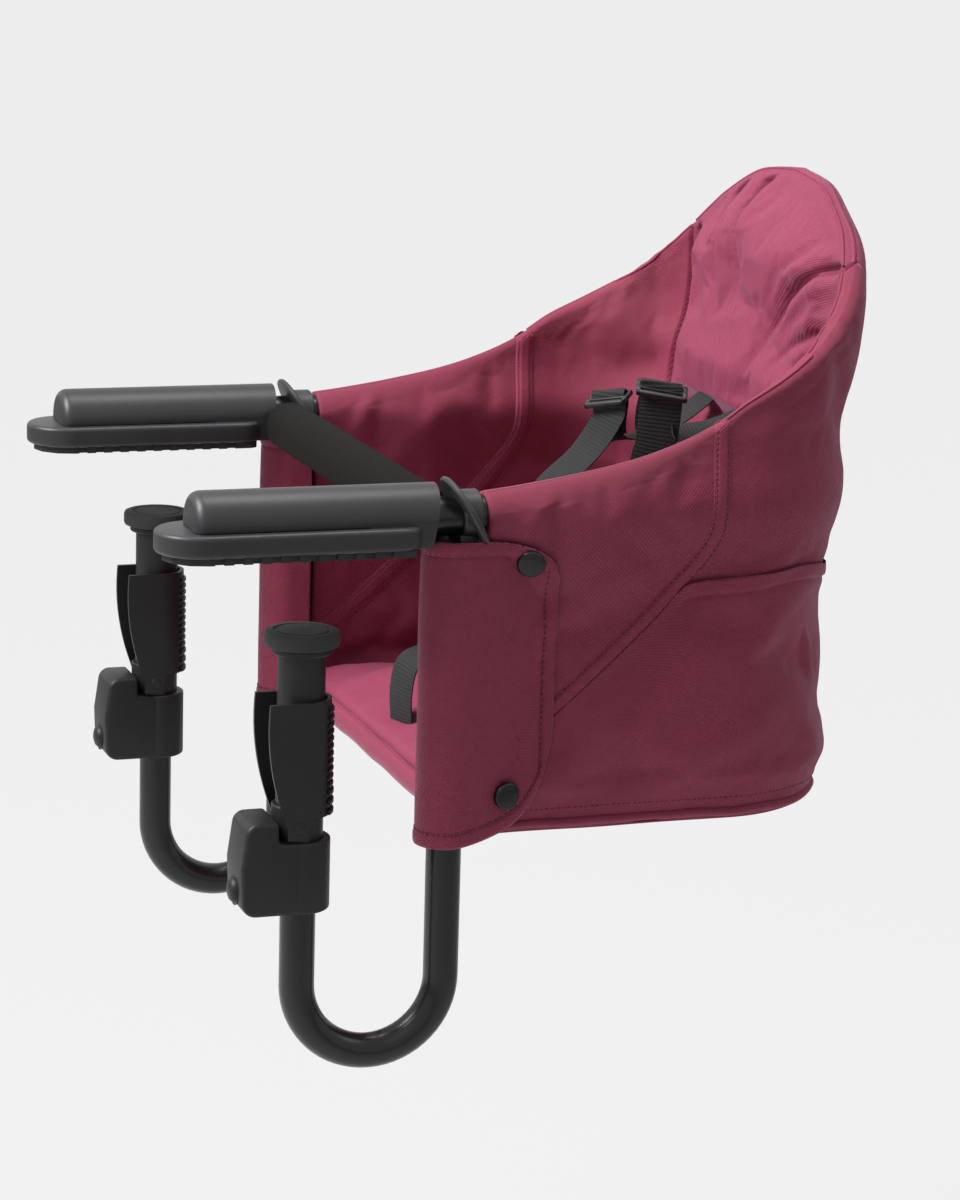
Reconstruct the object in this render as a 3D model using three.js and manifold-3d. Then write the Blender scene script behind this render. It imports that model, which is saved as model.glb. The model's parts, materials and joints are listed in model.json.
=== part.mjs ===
// Hook-on table chair, in millimetres with +Z up. The origin is the middle of the table's edge, at the
// level of the table top. X runs across the seat, and -Y points in over the table.
import * as THREE from "three";
import { mergeVertices } from "three/addons/utils/BufferGeometryUtils.js";
import Module from "manifold-3d";

const wasm = await Module();
wasm.setup();

// Clearances
const FIT_GAP = 0.3; // between pieces that rest on each other
const SLIDE_GAP = 0.4; // between pieces that slide or turn on each other

// The table that the clamps are set to
const TABLE_THICKNESS = 42;

// Arm tubes and rear bow
const ARM_SPACING = 336;
const ARM_OD = 22;
const ARM_WALL = 1.7;
const ARM_AXIS_Z = 18;
const ARM_FRONT_Y = -126;
const ARM_REAR_Y = 165;
const BOW_OD = 18;
const BOW_WALL = 1.5;
const BOW_PLUG_LENGTH = 40;
const CASING_WALL = 2.6;

// Grips that lie on the table
const LEDGE_FRONT_Y = -155;
const LEDGE_REAR_Y = -8;
const LEDGE_WIDTH = 50;
const LEDGE_TOP_Z = 16.5;
const LEDGE_BULLNOSE = 4.5;
const LEDGE_REAR_CORNER = 10;
const DOME_RADIUS = 19;
const DOME_FRONT_Y = -136;
const DOME_REAR_Y = 2;
const DOME_RAKE = 6;
const DOME_EDGE = 5;
const HEEL_HALF_WIDTH = 22;
const TREAD_HEIGHT = 4;
const TREAD_WIDTH = 43;
const TREAD_INSET = 4;
const TOOTH_PITCH = 10.5;
const TOOTH_DEPTH = 2.4;

// Crossbar and its foam
const CROSSBAR_OD = 12.5;
const CROSSBAR_WALL = 1.5;
const CROSSBAR_Y = 6;
const CROSSBAR_Z = 14.5;
const FOAM_OD = 30;
const FOAM_END_GAP = 1.5; // to the collars of the leg brackets

// Leg brackets
const LEG_Y = 12.5;
const SOCKET_OD = 27;
const SOCKET_TOP_Z = 4.2;
const SOCKET_CAP = 3.2;
const SOCKET_BOTTOM_Z = -45;
const ARM_RING_OD = 29;
const ARM_RING_FRONT_Y = 16;
const ARM_RING_REAR_Y = 27;
const COLLAR_OD = 49;
const COLLAR_THICKNESS = 3.2;
const COLLAR_Y = 20.2;
const COLLAR_TILT_DEG = 29.5;
const COLLAR_LOWEST_Z = 6.5;

// Lower arms
const LOWER_TUBE_OD = 20;
const LOWER_TUBE_WALL = 1.5;
const CLAMP_Y = -72;
const LOWER_ARM_BOTTOM_Z = -298;
const LOWER_TUBE_FRONT_TOP_Z = -86;

// Clamp posts, feet and levers
const POST_OD = 26.6;
const POST_BOTTOM_Z = -172;
const POST_FLANGE_OD = 34;
const POST_FLANGE_HEIGHT = 3.5;
const RACK_PITCH = 6;
const RACK_DEPTH = 1.4;
const RACK_COUNT = 8;
const RACK_WIDTH = 16;
const FOOT_OD = 42;
const FOOT_HEIGHT = 9;
const FOOT_PLUG_LENGTH = 12;
const LEVER_WALL = 2.4;
const LEVER_TOP_Z = -80;
const LEVER_BACK_BOTTOM_Z = -145.5;
const LEVER_PIVOT_DY = -4;
const LEVER_PIVOT_Z = -150;
const LEVER_EAR_RADIUS = 7;
const LEVER_FRONT_REACH = 18;
const LEVER_RIB_COUNT = 5;
const LEVER_RIB_PITCH = 13;
const LEVER_RIB_HEIGHT = 0.9;
const LEVER_RIB_WIDTH = 2.2;
const TRUNNION_OD = 6;

// Clamp housings and their locks
const HOUSING_BOTTOM_Z = -200;
const HOUSING_TOP_Z = -140;
const HOUSING_SHOULDER_Z = -159;
const HOUSING_FRONT_REACH = 37;
const HOUSING_NOSE_RISE = 28;
const HOUSING_BROW = 11;
const HOUSING_HALF_WIDTH = 17;
const HOUSING_REAR_RADIUS = 17.5;
const HOUSING_NECK_WALL = 2;
const HOUSING_FLOOR = 5.5;
const HOUSING_FRONT_WALL = 4;
const HOUSING_EDGE = 2.5;
const BUTTON_OD = 14.4;
const BUTTON_Z = -187.7;
const BUTTON_PROUD = 3.4;
const BUTTON_FLANGE_OD = 17.2;
const BUTTON_FLANGE_HEIGHT = 1.5;
const BUTTON_STEM_OD = 6;
const PAWL_WIDTH = 8;
const PAWL_DEPTH = 6.5;
const PAWL_PIVOT_DY = -23;
const PAWL_PIVOT_Z = -176;
const PAWL_TOP_Z = -157;
const PAWL_BOTTOM_Z = -190;
const PAWL_PIN_OD = 3;
const SPRING_OD = 5.6;
const SPRING_WIRE = 0.9;
const SPRING_TURNS = 3.5;

// Seat walls, seen from above as a U with round rear corners
const WALL_OUTSET = 3.5; // of the outer face beyond the arms' axes
const WALL_THICKNESS = 7;
const WALL_REAR_Y = 267;
const WALL_CORNER = 80;
const SEAT_BOTTOM_Z = -166;
const CUFF_Y = 30;
const CUFF_OD = 27.6;
const PANEL_FRONT_LOW_Z = -131;
const PANEL_EDGE = 2;
const RIM_CUFF_Z = 30;
const RIM_FRONT_Y = 74;
const RIM_FRONT_Z = 36.5;
const RIM_MIDDLE_Y = 121;
const RIM_MIDDLE_Z = 46.5;
const STRIP_TOP_Y = 170;
const STRIP_TOP_Z = 65;
const STRIP_KNEE_Y = 166;
const STRIP_KNEE_Z = 4;
const STRIP_BEND_Y = 149;
const STRIP_BEND_Z = -24;
const WING_REAR_Z = 143;
const POCKET_TOP_Z = -23;
const POCKET_BOTTOM_Z = -160;
const POCKET_THICKNESS = 2.4;
const POCKET_SEAM = 3; // behind the strip

// Leg flaps and press studs
const FLAP_THICKNESS = 2;
const FLAP_TOP_Z = 6;
const FLAP_BOTTOM_Z = -167;
const FLAP_REAR_Y = 76;
const FLAP_REAR_TOP_Z = -6;
const FLAP_REAR_LOW_Z = -104;
const FLAP_HEEL_Y = 54;
const FLAP_HEEL_Z = -156;
const FLAP_CORNER = 12;
const STUD_OD = 16;
const STUD_HEIGHT = 3;
const UPPER_STUD_Y = 55;
const UPPER_STUD_Z = -8;
const LOWER_STUD_Y = 44.5;
const LOWER_STUD_Z = -140.5;

// Seat base
const BASE_FRONT_Y = 25;
const BOTTOM_PANEL_THICKNESS = 2.5;
const BOARD_THICKNESS = 4;
const BOARD_INSET = 6;
const CUSHION_EDGE = 10;
const CUSHION_CROWN = 8;
const CUSHION_WAIST = 2;
const BINDING_DEPTH = 5;
const BINDING_HEIGHT = 16;
const BINDING_END_GAP = 1.8; // to the leg flaps

// Folding back
const BACK_WIDTH = 235;
const BACK_LOW_Z = 35.5;
const BACK_TOP_Z = 189;
const BACK_ARCH_POWER = 2.26;
const BACK_LEAN = 15;
const BACK_LEAN_FROM_Z = 30;
const BACK_LEAN_TO_Z = 131;
const BACK_TOP_LEAN = 24;
const BACK_TOP_LEAN_FROM_Z = 145;
const BACK_TOP_ROLL = 9;
const BACK_ROLL_HEIGHT = 45;
const BACK_COVER = 3;
const BACK_LAYER_GAP = 1.3;
const BACK_BOARD = 2.5;
const BACK_BOARD_INSET = 12;
const BACK_PAD_CENTRE = 22;
const BACK_PAD_EDGE = 8;
const BACK_PLEAT_DEPTH = 2.5;
const BACK_PLEAT_PITCH = 52;
const LOOP_WALL = 2.2;
const LOOP_WIDTH = 172;

// Harness
const WEBBING_WIDTH = 25;
const WEBBING_THICKNESS = 1.6;
const SHOULDER_X = 37;
const STRAP_END_X = 14;
const WAIST_WALL_TURN = 1; // round the rear corner, in radians
const WAIST_WALL_Z = -112;
const WAIST_CORNER_Y = 172;
const WAIST_CORNER_Z = -110;
const WAIST_LAP_X = 50;
const WAIST_LAP_Y = 104;
const WAIST_LAP_Z = -95;
const CROTCH_SEAM = 8;
const ADJUSTER_WIDTH = 31;
const ADJUSTER_HEIGHT = 13;
const ADJUSTER_THICKNESS = 3.4;
const ADJUSTER_BAR = 3;
const ADJUSTER_GAP = 0.8; // in front of the curved strap
const BUCKLE_WIDTH = 40;
const BUCKLE_HEIGHT = 36;
const BUCKLE_DEPTH = 14;
const BUCKLE_Y = 62;
const BUCKLE_Z = -82;
const BUCKLE_BUTTON_OD = 16;
const BUCKLE_BUTTON_PROUD = 1.5;
const BUCKLE_BUTTON_LENGTH = 6.5;
const BUCKLE_BUTTON_TRAVEL = 2.5;

// Facets round a full turn
const ROUND = 20;
const ROUND_TUBE = 14;
const ROUND_BOW = 12;
const BEND_STEPS = 7;
const U_BEND_STEPS = 10;
const ARC_STEPS = 3;

// Worked out from the sizes above
const ARM_X = ARM_SPACING / 2;
const FOAM_LENGTH = 2 * (ARM_X - COLLAR_OD / 2 - FOAM_END_GAP);
const WALL_X = ARM_X + WALL_OUTSET;
const WALL_SPACING = 2 * WALL_X;
const CORNER_X = WALL_X - WALL_CORNER;
const CORNER_Y = WALL_REAR_Y - WALL_CORNER;
const BOW_INSET = WALL_X - ARM_X;
const CASING_OD = BOW_OD + 2 * (FIT_GAP + CASING_WALL);
const CASING_TOP_Z = ARM_AXIS_Z + CASING_OD / 2;
const CASING_BOTTOM_Z = ARM_AXIS_Z - CASING_OD / 2;
const HINGE_Y = WALL_REAR_Y - BOW_INSET;
const POST_BORE_OD = POST_OD + 2 * FIT_GAP;
const NECK_OD = POST_BORE_OD + 2 * HOUSING_NECK_WALL;
const LEVER_ID = NECK_OD + 2 * FIT_GAP;
const LEVER_OD = LEVER_ID + 2 * LEVER_WALL;
const FOOT_BOTTOM_Z = -TABLE_THICKNESS - FOOT_HEIGHT;
const POST_TOP_Z = FOOT_BOTTOM_Z - FIT_GAP;
const FLAP_INNER_RADIUS = SOCKET_OD / 2 + SLIDE_GAP + FIT_GAP;
const BINDING_HALF = ARM_X - FLAP_INNER_RADIUS - FLAP_THICKNESS - BINDING_END_GAP;
const BOARD_BOTTOM_Z = SEAT_BOTTOM_Z + BOTTOM_PANEL_THICKNESS + FIT_GAP;
const CUSHION_BOTTOM_Z = BOARD_BOTTOM_Z + BOARD_THICKNESS + FIT_GAP;
const BACK_HALF = BACK_WIDTH / 2;
const BACK_ARCH_DROP = BACK_TOP_Z - WING_REAR_Z;
const LOOP_INNER = (CASING_OD / 2 + SLIDE_GAP) / Math.cos(Math.PI / ROUND);
const LOOP_OUTER = LOOP_INNER + LOOP_WALL;
const AXIS_X = new THREE.Vector3(1, 0, 0);
const AXIS_Y = new THREE.Vector3(0, 1, 0);
const AXIS_Z = new THREE.Vector3(0, 0, 1);

// Materials
const surface = (color, roughness, metalness = 0) => ({ color, roughness, metalness });
const PAINTED_TUBE = surface(0x1d1d1e, 0.35, 0.4);
const MOULDED_PLASTIC = surface(0x2c2c2f, 0.5);
const CLAMP_PLASTIC = surface(0x232325, 0.55);
const RUBBER = surface(0x161616, 0.85);
const FOAM = surface(0x221e1b, 0.95);
const STEEL = surface(0xa8a8aa, 0.35, 1);
const FABRIC = surface(0x7a2c45, 0.9);
const LINING = surface(0xa04468, 0.9);
const WEBBING = surface(0x2a2c2e, 0.85);
const STIFFENER = surface(0xb9b4a8, 0.8);

const chair = new THREE.Group();

// Basic solids

// The same shape with shared corners, no flat triangles, and its faces pointing out.
function welded(geometry) {
  const bare = new THREE.BufferGeometry();
  bare.setAttribute("position", geometry.getAttribute("position").clone());
  if (geometry.index) bare.setIndex(geometry.index.clone());
  const merged = mergeVertices(bare, 1e-4);
  const corners = merged.index.array;
  const kept = [];
  for (let i = 0; i < corners.length; i += 3) {
    const [a, b, c] = [corners[i], corners[i + 1], corners[i + 2]];
    if (a !== b && b !== c && c !== a) kept.push(a, b, c);
  }
  merged.setIndex(kept);
  if (volume(merged) < 0) merged.setIndex(kept.reverse());
  merged.computeVertexNormals();
  return merged;
}

// Six times the enclosed volume; it is negative where the faces point in.
function volume(geometry) {
  const position = geometry.getAttribute("position");
  const corners = geometry.index.array;
  const [a, b, c] = [new THREE.Vector3(), new THREE.Vector3(), new THREE.Vector3()];
  let sum = 0;
  for (let i = 0; i < corners.length; i += 3) {
    a.fromBufferAttribute(position, corners[i]);
    b.fromBufferAttribute(position, corners[i + 1]);
    c.fromBufferAttribute(position, corners[i + 2]);
    sum += a.dot(b.cross(c));
  }
  return sum;
}

function solid(geometry) {
  const shape = welded(geometry);
  return new wasm.Manifold(new wasm.Mesh({
    numProp: 3,
    vertProperties: new Float32Array(shape.getAttribute("position").array),
    triVerts: new Uint32Array(shape.index.array),
  }));
}

// Everything in added joined together, everything in removed cut away, and the rest kept inside the limit.
function carve(added, removed = [], limit = null) {
  let body = added.map(solid).reduce((a, b) => a.add(b));
  for (const tool of removed) body = body.subtract(solid(tool));
  if (limit) body = body.intersect(solid(limit));
  const mesh = body.getMesh();
  const geometry = new THREE.BufferGeometry();
  geometry.setAttribute("position", new THREE.BufferAttribute(new Float32Array(mesh.vertProperties), 3));
  geometry.setIndex(new THREE.BufferAttribute(new Uint32Array(mesh.triVerts), 1));
  return geometry;
}

// The radius of a faceted bore whose flats stay clear of a round of the given radius.
const boreRadius = (radius, facets = ROUND) => radius / Math.cos(Math.PI / facets);

function rodZ(radius, low, high, facets = ROUND) {
  const rod = new THREE.CylinderGeometry(radius, radius, high - low, facets);
  return rod.rotateX(Math.PI / 2).translate(0, 0, (low + high) / 2);
}

function rodY(radius, front, rear, facets = ROUND) {
  const rod = new THREE.CylinderGeometry(radius, radius, rear - front, facets);
  return rod.translate(0, (front + rear) / 2, 0);
}

function rodX(radius, halfLength, facets = ROUND) {
  return new THREE.CylinderGeometry(radius, radius, 2 * halfLength, facets).rotateZ(Math.PI / 2);
}

function block(x0, x1, y0, y1, z0, z1) {
  const box = new THREE.BoxGeometry(x1 - x0, y1 - y0, z1 - z0);
  return box.translate((x0 + x1) / 2, (y0 + y1) / 2, (z0 + z1) / 2);
}

// Each arc in an outline is drawn with twice the arc steps.
function extruded(shape, depth, bevel = 0, arcSteps = ARC_STEPS, bevelSteps = 1) {
  const settings = {
    depth: depth - 2 * bevel,
    bevelEnabled: bevel > 0,
    bevelThickness: bevel,
    bevelSize: bevel,
    bevelOffset: -bevel,
    bevelSegments: bevelSteps,
    curveSegments: arcSteps,
  };
  return new THREE.ExtrudeGeometry(shape, settings).translate(0, 0, bevel);
}

// A plan outline in (x, y), raised from z0 to z1.
function upright(shape, z0, z1, bevel = 0, arcSteps = ARC_STEPS, bevelSteps = 1) {
  return extruded(shape, z1 - z0, bevel, arcSteps, bevelSteps).translate(0, 0, z0);
}

// A side outline in (y, z), carried across from x0 to x1.
function across(shape, x0, x1, bevel = 0, arcSteps = ARC_STEPS) {
  const turn = new THREE.Matrix4().makeBasis(AXIS_Y, AXIS_Z, AXIS_X);
  return extruded(shape, x1 - x0, bevel, arcSteps).applyMatrix4(turn).translate(x0, 0, 0);
}

// A front outline in (x, z), carried back from y0 to y1.
function endwise(shape, y0, y1, bevel = 0, arcSteps = ARC_STEPS) {
  const turn = new THREE.Matrix4().makeBasis(AXIS_X, AXIS_Z, AXIS_Y.clone().negate());
  return extruded(shape, y1 - y0, bevel, arcSteps).applyMatrix4(turn).translate(0, y1, 0);
}

function outline(points) {
  return new THREE.Shape(points.map(([a, b]) => new THREE.Vector2(a, b)));
}

function circle(radius, facets) {
  const points = [];
  for (let facet = 0; facet < facets; facet++) {
    const angle = (facet / facets) * 2 * Math.PI;
    points.push(new THREE.Vector2(radius * Math.cos(angle), radius * Math.sin(angle)));
  }
  return points;
}

function ring(outer, inner, facets = ROUND) {
  const shape = new THREE.Shape(circle(outer, facets));
  shape.holes.push(new THREE.Path(circle(inner, facets).reverse()));
  return shape;
}

// A route through chosen stations, with one step from each to the next.
class Route extends THREE.Curve {
  constructor(stations) {
    super();
    this.stations = stations;
  }

  getPoint(t, target = new THREE.Vector3()) {
    const last = this.stations.length - 1;
    const step = Math.min(Math.floor(t * last), last - 1);
    return target.lerpVectors(this.stations[step], this.stations[step + 1], t * last - step);
  }

  getUtoTmapping(u) {
    return u;
  }
}

function tubeAlong(stations, outer, inner, facets = ROUND_TUBE) {
  return new THREE.ExtrudeGeometry(ring(outer, inner, facets), {
    steps: stations.length - 1,
    extrudePath: new Route(stations),
  });
}

// A closed panel between a face and a back, each a function of u and v from 0 to 1.
function panel(face, back, uSteps, vSteps) {
  const points = [];
  const corners = [];
  const rows = vSteps + 1;
  const layer = (uSteps + 1) * rows;
  for (const side of [face, back]) {
    for (let i = 0; i <= uSteps; i++) {
      for (let j = 0; j <= vSteps; j++) points.push(...side(i / uSteps, j / vSteps));
    }
  }
  const quad = (a, b, c, d) => corners.push(a, b, c, a, c, d);
  const at = (i, j) => i * rows + j;
  for (let i = 0; i < uSteps; i++) {
    for (let j = 0; j < vSteps; j++) {
      const [a, b, c, d] = [at(i, j), at(i + 1, j), at(i + 1, j + 1), at(i, j + 1)];
      quad(a, b, c, d);
      quad(layer + d, layer + c, layer + b, layer + a);
    }
  }
  for (let i = 0; i < uSteps; i++) {
    quad(at(i + 1, 0), at(i, 0), layer + at(i, 0), layer + at(i + 1, 0));
    quad(at(i, vSteps), at(i + 1, vSteps), layer + at(i + 1, vSteps), layer + at(i, vSteps));
  }
  for (let j = 0; j < vSteps; j++) {
    quad(at(0, j), at(0, j + 1), layer + at(0, j + 1), layer + at(0, j));
    quad(at(uSteps, j + 1), at(uSteps, j), layer + at(uSteps, j), layer + at(uSteps, j + 1));
  }
  const geometry = new THREE.BufferGeometry();
  geometry.setAttribute("position", new THREE.Float32BufferAttribute(points, 3));
  geometry.setIndex(corners);
  return geometry;
}

function place(name, geometry, finish) {
  const mesh = new THREE.Mesh(welded(geometry), new THREE.MeshStandardMaterial(finish));
  mesh.name = name;
  chair.add(mesh);
}

// A piece modelled on the left side, +X, and its mirror image on the right.
function placePair(name, geometry, finish) {
  place(`${name}_left`, geometry, finish);
  place(`${name}_right`, geometry.clone().scale(-1, 1, 1), finish);
}

// Frame

function armTube() {
  const tube = ring(ARM_OD / 2, ARM_OD / 2 - ARM_WALL);
  return endwise(tube, ARM_FRONT_Y, ARM_REAR_Y).translate(ARM_X, 0, ARM_AXIS_Z);
}

// Stations along the middle of the seat wall, round the back from a point on the left side.
function bowStations(frontY) {
  const radius = WALL_CORNER - BOW_INSET;
  const half = [new THREE.Vector3(ARM_X, frontY, ARM_AXIS_Z)];
  for (let step = 0; step <= BEND_STEPS; step++) {
    const angle = (step / BEND_STEPS) * (Math.PI / 2);
    const x = CORNER_X + radius * Math.cos(angle);
    half.push(new THREE.Vector3(x, CORNER_Y + radius * Math.sin(angle), ARM_AXIS_Z));
  }
  const other = half.map((p) => new THREE.Vector3(-p.x, p.y, p.z)).reverse();
  return [...half, ...other];
}

function rearBow() {
  return tubeAlong(bowStations(ARM_REAR_Y - BOW_PLUG_LENGTH), BOW_OD / 2, BOW_OD / 2 - BOW_WALL, ROUND_BOW);
}

function bowCasing() {
  const bore = boreRadius(BOW_OD / 2 + FIT_GAP / 2, ROUND_BOW);
  return tubeAlong(bowStations(STRIP_TOP_Y), CASING_OD / 2, bore, ROUND_BOW);
}

function crossbarTube() {
  const halfLength = ARM_X - ARM_OD / 2 - FIT_GAP;
  const outer = rodX(CROSSBAR_OD / 2, halfLength);
  const inner = rodX(CROSSBAR_OD / 2 - CROSSBAR_WALL, halfLength + 1);
  return carve([outer], [inner]).translate(0, CROSSBAR_Y, CROSSBAR_Z);
}

function crossbarFoam() {
  const outer = rodX(FOAM_OD / 2, FOAM_LENGTH / 2);
  const bore = rodX(boreRadius(CROSSBAR_OD / 2 + FIT_GAP), FOAM_LENGTH);
  return carve([outer], [bore]).translate(0, CROSSBAR_Y, CROSSBAR_Z);
}

// Grips

// A stadium in plan, round at the front and with small round corners at the rear.
function stadium(halfWidth, front, rear, corner) {
  const shape = new THREE.Shape();
  shape.moveTo(halfWidth, front + halfWidth);
  shape.lineTo(halfWidth, rear - corner);
  shape.absarc(halfWidth - corner, rear - corner, corner, 0, Math.PI / 2);
  shape.lineTo(corner - halfWidth, rear);
  shape.absarc(corner - halfWidth, rear - corner, corner, Math.PI / 2, Math.PI);
  shape.lineTo(-halfWidth, front + halfWidth);
  shape.absarc(0, front + halfWidth, halfWidth, Math.PI, 2 * Math.PI);
  return shape;
}

function armBore(front, rear) {
  return rodY(boreRadius(ARM_OD / 2 + FIT_GAP), front, rear).translate(0, 0, ARM_AXIS_Z);
}

// The rounded cap over the arm's end, with a heel behind the ledge and a raked rear face.
function gripDome() {
  const low = LEDGE_TOP_Z + FIT_GAP;
  const heelFront = LEDGE_REAR_Y + FIT_GAP;
  const profile = [];
  for (let step = 0; step <= 3; step++) {
    const angle = (step / 3) * (Math.PI / 2);
    const radius = DOME_RADIUS - DOME_EDGE * (1 - Math.sin(angle));
    profile.push([radius, DOME_FRONT_Y + DOME_EDGE * (1 - Math.cos(angle))]);
  }
  const points = outline([[0, DOME_FRONT_Y], ...profile, [DOME_RADIUS, DOME_REAR_Y], [0, DOME_REAR_Y]]);
  const dome = new THREE.LatheGeometry(points.getPoints(), 32).translate(0, 0, ARM_AXIS_Z);
  const heel = new THREE.Shape();
  const crest = ARM_AXIS_Z + DOME_RADIUS / 2;
  heel.moveTo(HEEL_HALF_WIDTH, TREAD_HEIGHT);
  heel.lineTo(HEEL_HALF_WIDTH, LEDGE_TOP_Z);
  heel.quadraticCurveTo(HEEL_HALF_WIDTH, crest, 0, crest);
  heel.quadraticCurveTo(-HEEL_HALF_WIDTH, crest, -HEEL_HALF_WIDTH, LEDGE_TOP_Z);
  heel.lineTo(-HEEL_HALF_WIDTH, TREAD_HEIGHT);
  const heelWall = endwise(heel, heelFront, DOME_REAR_Y);
  const side = outline([
    [DOME_FRONT_Y - 1, low], [heelFront, low], [heelFront, TREAD_HEIGHT],
    [DOME_REAR_Y - DOME_RAKE, TREAD_HEIGHT], [DOME_REAR_Y, ARM_AXIS_Z + DOME_RADIUS],
    [DOME_FRONT_Y - 1, ARM_AXIS_Z + DOME_RADIUS],
  ]);
  const limit = across(side, -HEEL_HALF_WIDTH, HEEL_HALF_WIDTH);
  const bore = armBore(ARM_FRONT_Y - FIT_GAP, DOME_REAR_Y + 1);
  return carve([dome, heelWall], [bore], limit).translate(ARM_X, 0, 0);
}

function gripLedge() {
  const plan = stadium(LEDGE_WIDTH / 2, LEDGE_FRONT_Y, LEDGE_REAR_Y, LEDGE_REAR_CORNER);
  const ledge = upright(plan, TREAD_HEIGHT, LEDGE_TOP_Z, LEDGE_BULLNOSE, ARC_STEPS, 2);
  return carve([ledge], [armBore(ARM_FRONT_Y - FIT_GAP, LEDGE_REAR_Y + 1)]).translate(ARM_X, 0, 0);
}

// The rubber tread, with square teeth along both edges.
function gripTread() {
  const half = TREAD_WIDTH / 2;
  const front = LEDGE_FRONT_Y + TREAD_INSET;
  const rear = LEDGE_REAR_Y - TREAD_INSET;
  const plan = stadium(half, front, rear, LEDGE_REAR_CORNER - TREAD_INSET);
  const tread = upright(plan, 0, TREAD_HEIGHT - FIT_GAP);
  const straight = rear - LEDGE_REAR_CORNER - (front + half);
  const count = Math.floor(straight / TOOTH_PITCH);
  const gaps = [];
  for (let tooth = 0; tooth < count; tooth++) {
    const y = front + half + (tooth + 0.25) * TOOTH_PITCH;
    for (const side of [-1, 1]) {
      const x = side * half;
      gaps.push(block(x - TOOTH_DEPTH, x + TOOTH_DEPTH, y, y + TOOTH_PITCH / 2, -1, TREAD_HEIGHT));
    }
  }
  return carve([tread], gaps).translate(ARM_X, 0, 0);
}

// Leg brackets and lower arms

function legBracket() {
  const socket = rodZ(SOCKET_OD / 2, SOCKET_BOTTOM_Z, SOCKET_TOP_Z).translate(0, LEG_Y, 0);
  const armRing = rodY(ARM_RING_OD / 2, ARM_RING_FRONT_Y, ARM_RING_REAR_Y).translate(0, 0, ARM_AXIS_Z);
  const saddleHalf = SOCKET_OD / 2 - 2.5;
  const saddle = block(-saddleHalf, saddleHalf, ARM_RING_FRONT_Y, LEG_Y + saddleHalf, -6, ARM_AXIS_Z - 8);
  const disc = rodY(COLLAR_OD / 2, -COLLAR_THICKNESS / 2, COLLAR_THICKNESS / 2, 32);
  disc.rotateX(THREE.MathUtils.degToRad(COLLAR_TILT_DEG)).translate(0, COLLAR_Y, ARM_AXIS_Z);
  const collarLimit = block(-COLLAR_OD, COLLAR_OD, COLLAR_Y - COLLAR_OD, COLLAR_Y + COLLAR_OD,
    COLLAR_LOWEST_Z, ARM_AXIS_Z + COLLAR_OD);
  const collar = carve([disc], [], collarLimit);
  const legBore = rodZ(boreRadius(LOWER_TUBE_OD / 2 + SLIDE_GAP), SOCKET_BOTTOM_Z - 1,
    SOCKET_TOP_Z - SOCKET_CAP).translate(0, LEG_Y, 0);
  const bore = armBore(COLLAR_Y - COLLAR_OD, COLLAR_Y + COLLAR_OD);
  return carve([socket, armRing, saddle, collar], [legBore, bore]).translate(ARM_X, 0, 0);
}

function lowerArmTube() {
  const bend = (LEG_Y - CLAMP_Y) / 2;
  const bendZ = LOWER_ARM_BOTTOM_Z + LOWER_TUBE_OD / 2 + bend;
  const legTop = SOCKET_TOP_Z - SOCKET_CAP - SLIDE_GAP;
  const stations = [new THREE.Vector3(ARM_X, LEG_Y, legTop)];
  for (let step = 0; step <= U_BEND_STEPS; step++) {
    const angle = (step / U_BEND_STEPS) * Math.PI;
    const y = (LEG_Y + CLAMP_Y) / 2 + bend * Math.cos(angle);
    stations.push(new THREE.Vector3(ARM_X, y, bendZ - bend * Math.sin(angle)));
  }
  stations.push(new THREE.Vector3(ARM_X, CLAMP_Y, LOWER_TUBE_FRONT_TOP_Z));
  return tubeAlong(stations, LOWER_TUBE_OD / 2, LOWER_TUBE_OD / 2 - LOWER_TUBE_WALL);
}

// Clamps. Each piece is drawn round the post's axis, then moved to its place.

const toClamp = (geometry) => geometry.translate(ARM_X, CLAMP_Y, 0);

function clampPost() {
  const barrel = rodZ(POST_OD / 2, POST_BOTTOM_Z, POST_TOP_Z);
  const flange = rodZ(POST_FLANGE_OD / 2, POST_TOP_Z - POST_FLANGE_HEIGHT, POST_TOP_Z);
  const bore = rodZ(boreRadius(LOWER_TUBE_OD / 2 + SLIDE_GAP), POST_BOTTOM_Z - 1, POST_TOP_Z + 1);
  const notches = [];
  const face = -POST_OD / 2;
  for (let tooth = 1; tooth <= RACK_COUNT; tooth++) {
    const z = POST_BOTTOM_Z + tooth * RACK_PITCH;
    const notch = outline([[face - 1, z - 1], [face + RACK_DEPTH, z], [face + RACK_DEPTH, z + 1],
      [face - 1, z + RACK_PITCH - 2]]);
    notches.push(across(notch, -RACK_WIDTH / 2, RACK_WIDTH / 2));
  }
  return toClamp(carve([barrel, flange], [bore, ...notches]));
}

function clampFoot() {
  const pad = new THREE.Shape(circle(FOOT_OD / 2, ROUND));
  const disc = upright(pad, FOOT_BOTTOM_Z, -TABLE_THICKNESS, 2, ARC_STEPS);
  const plugLow = FOOT_BOTTOM_Z - FOOT_PLUG_LENGTH;
  const plug = rodZ(LOWER_TUBE_OD / 2, plugLow, FOOT_BOTTOM_Z + 3);
  return toClamp(carve([disc, plug]));
}

// A U in plan, open to the front, whose round back is centred on the post.
function channelPlan(outer, inner, reach) {
  const shape = new THREE.Shape();
  shape.moveTo(outer, -reach);
  shape.lineTo(outer, 0);
  shape.absarc(0, 0, outer, 0, Math.PI);
  shape.lineTo(-outer, -reach);
  shape.lineTo(-inner, -reach);
  shape.lineTo(-inner, 0);
  shape.absarc(0, 0, inner, Math.PI, 0, true);
  shape.lineTo(inner, -reach);
  return shape;
}

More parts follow.
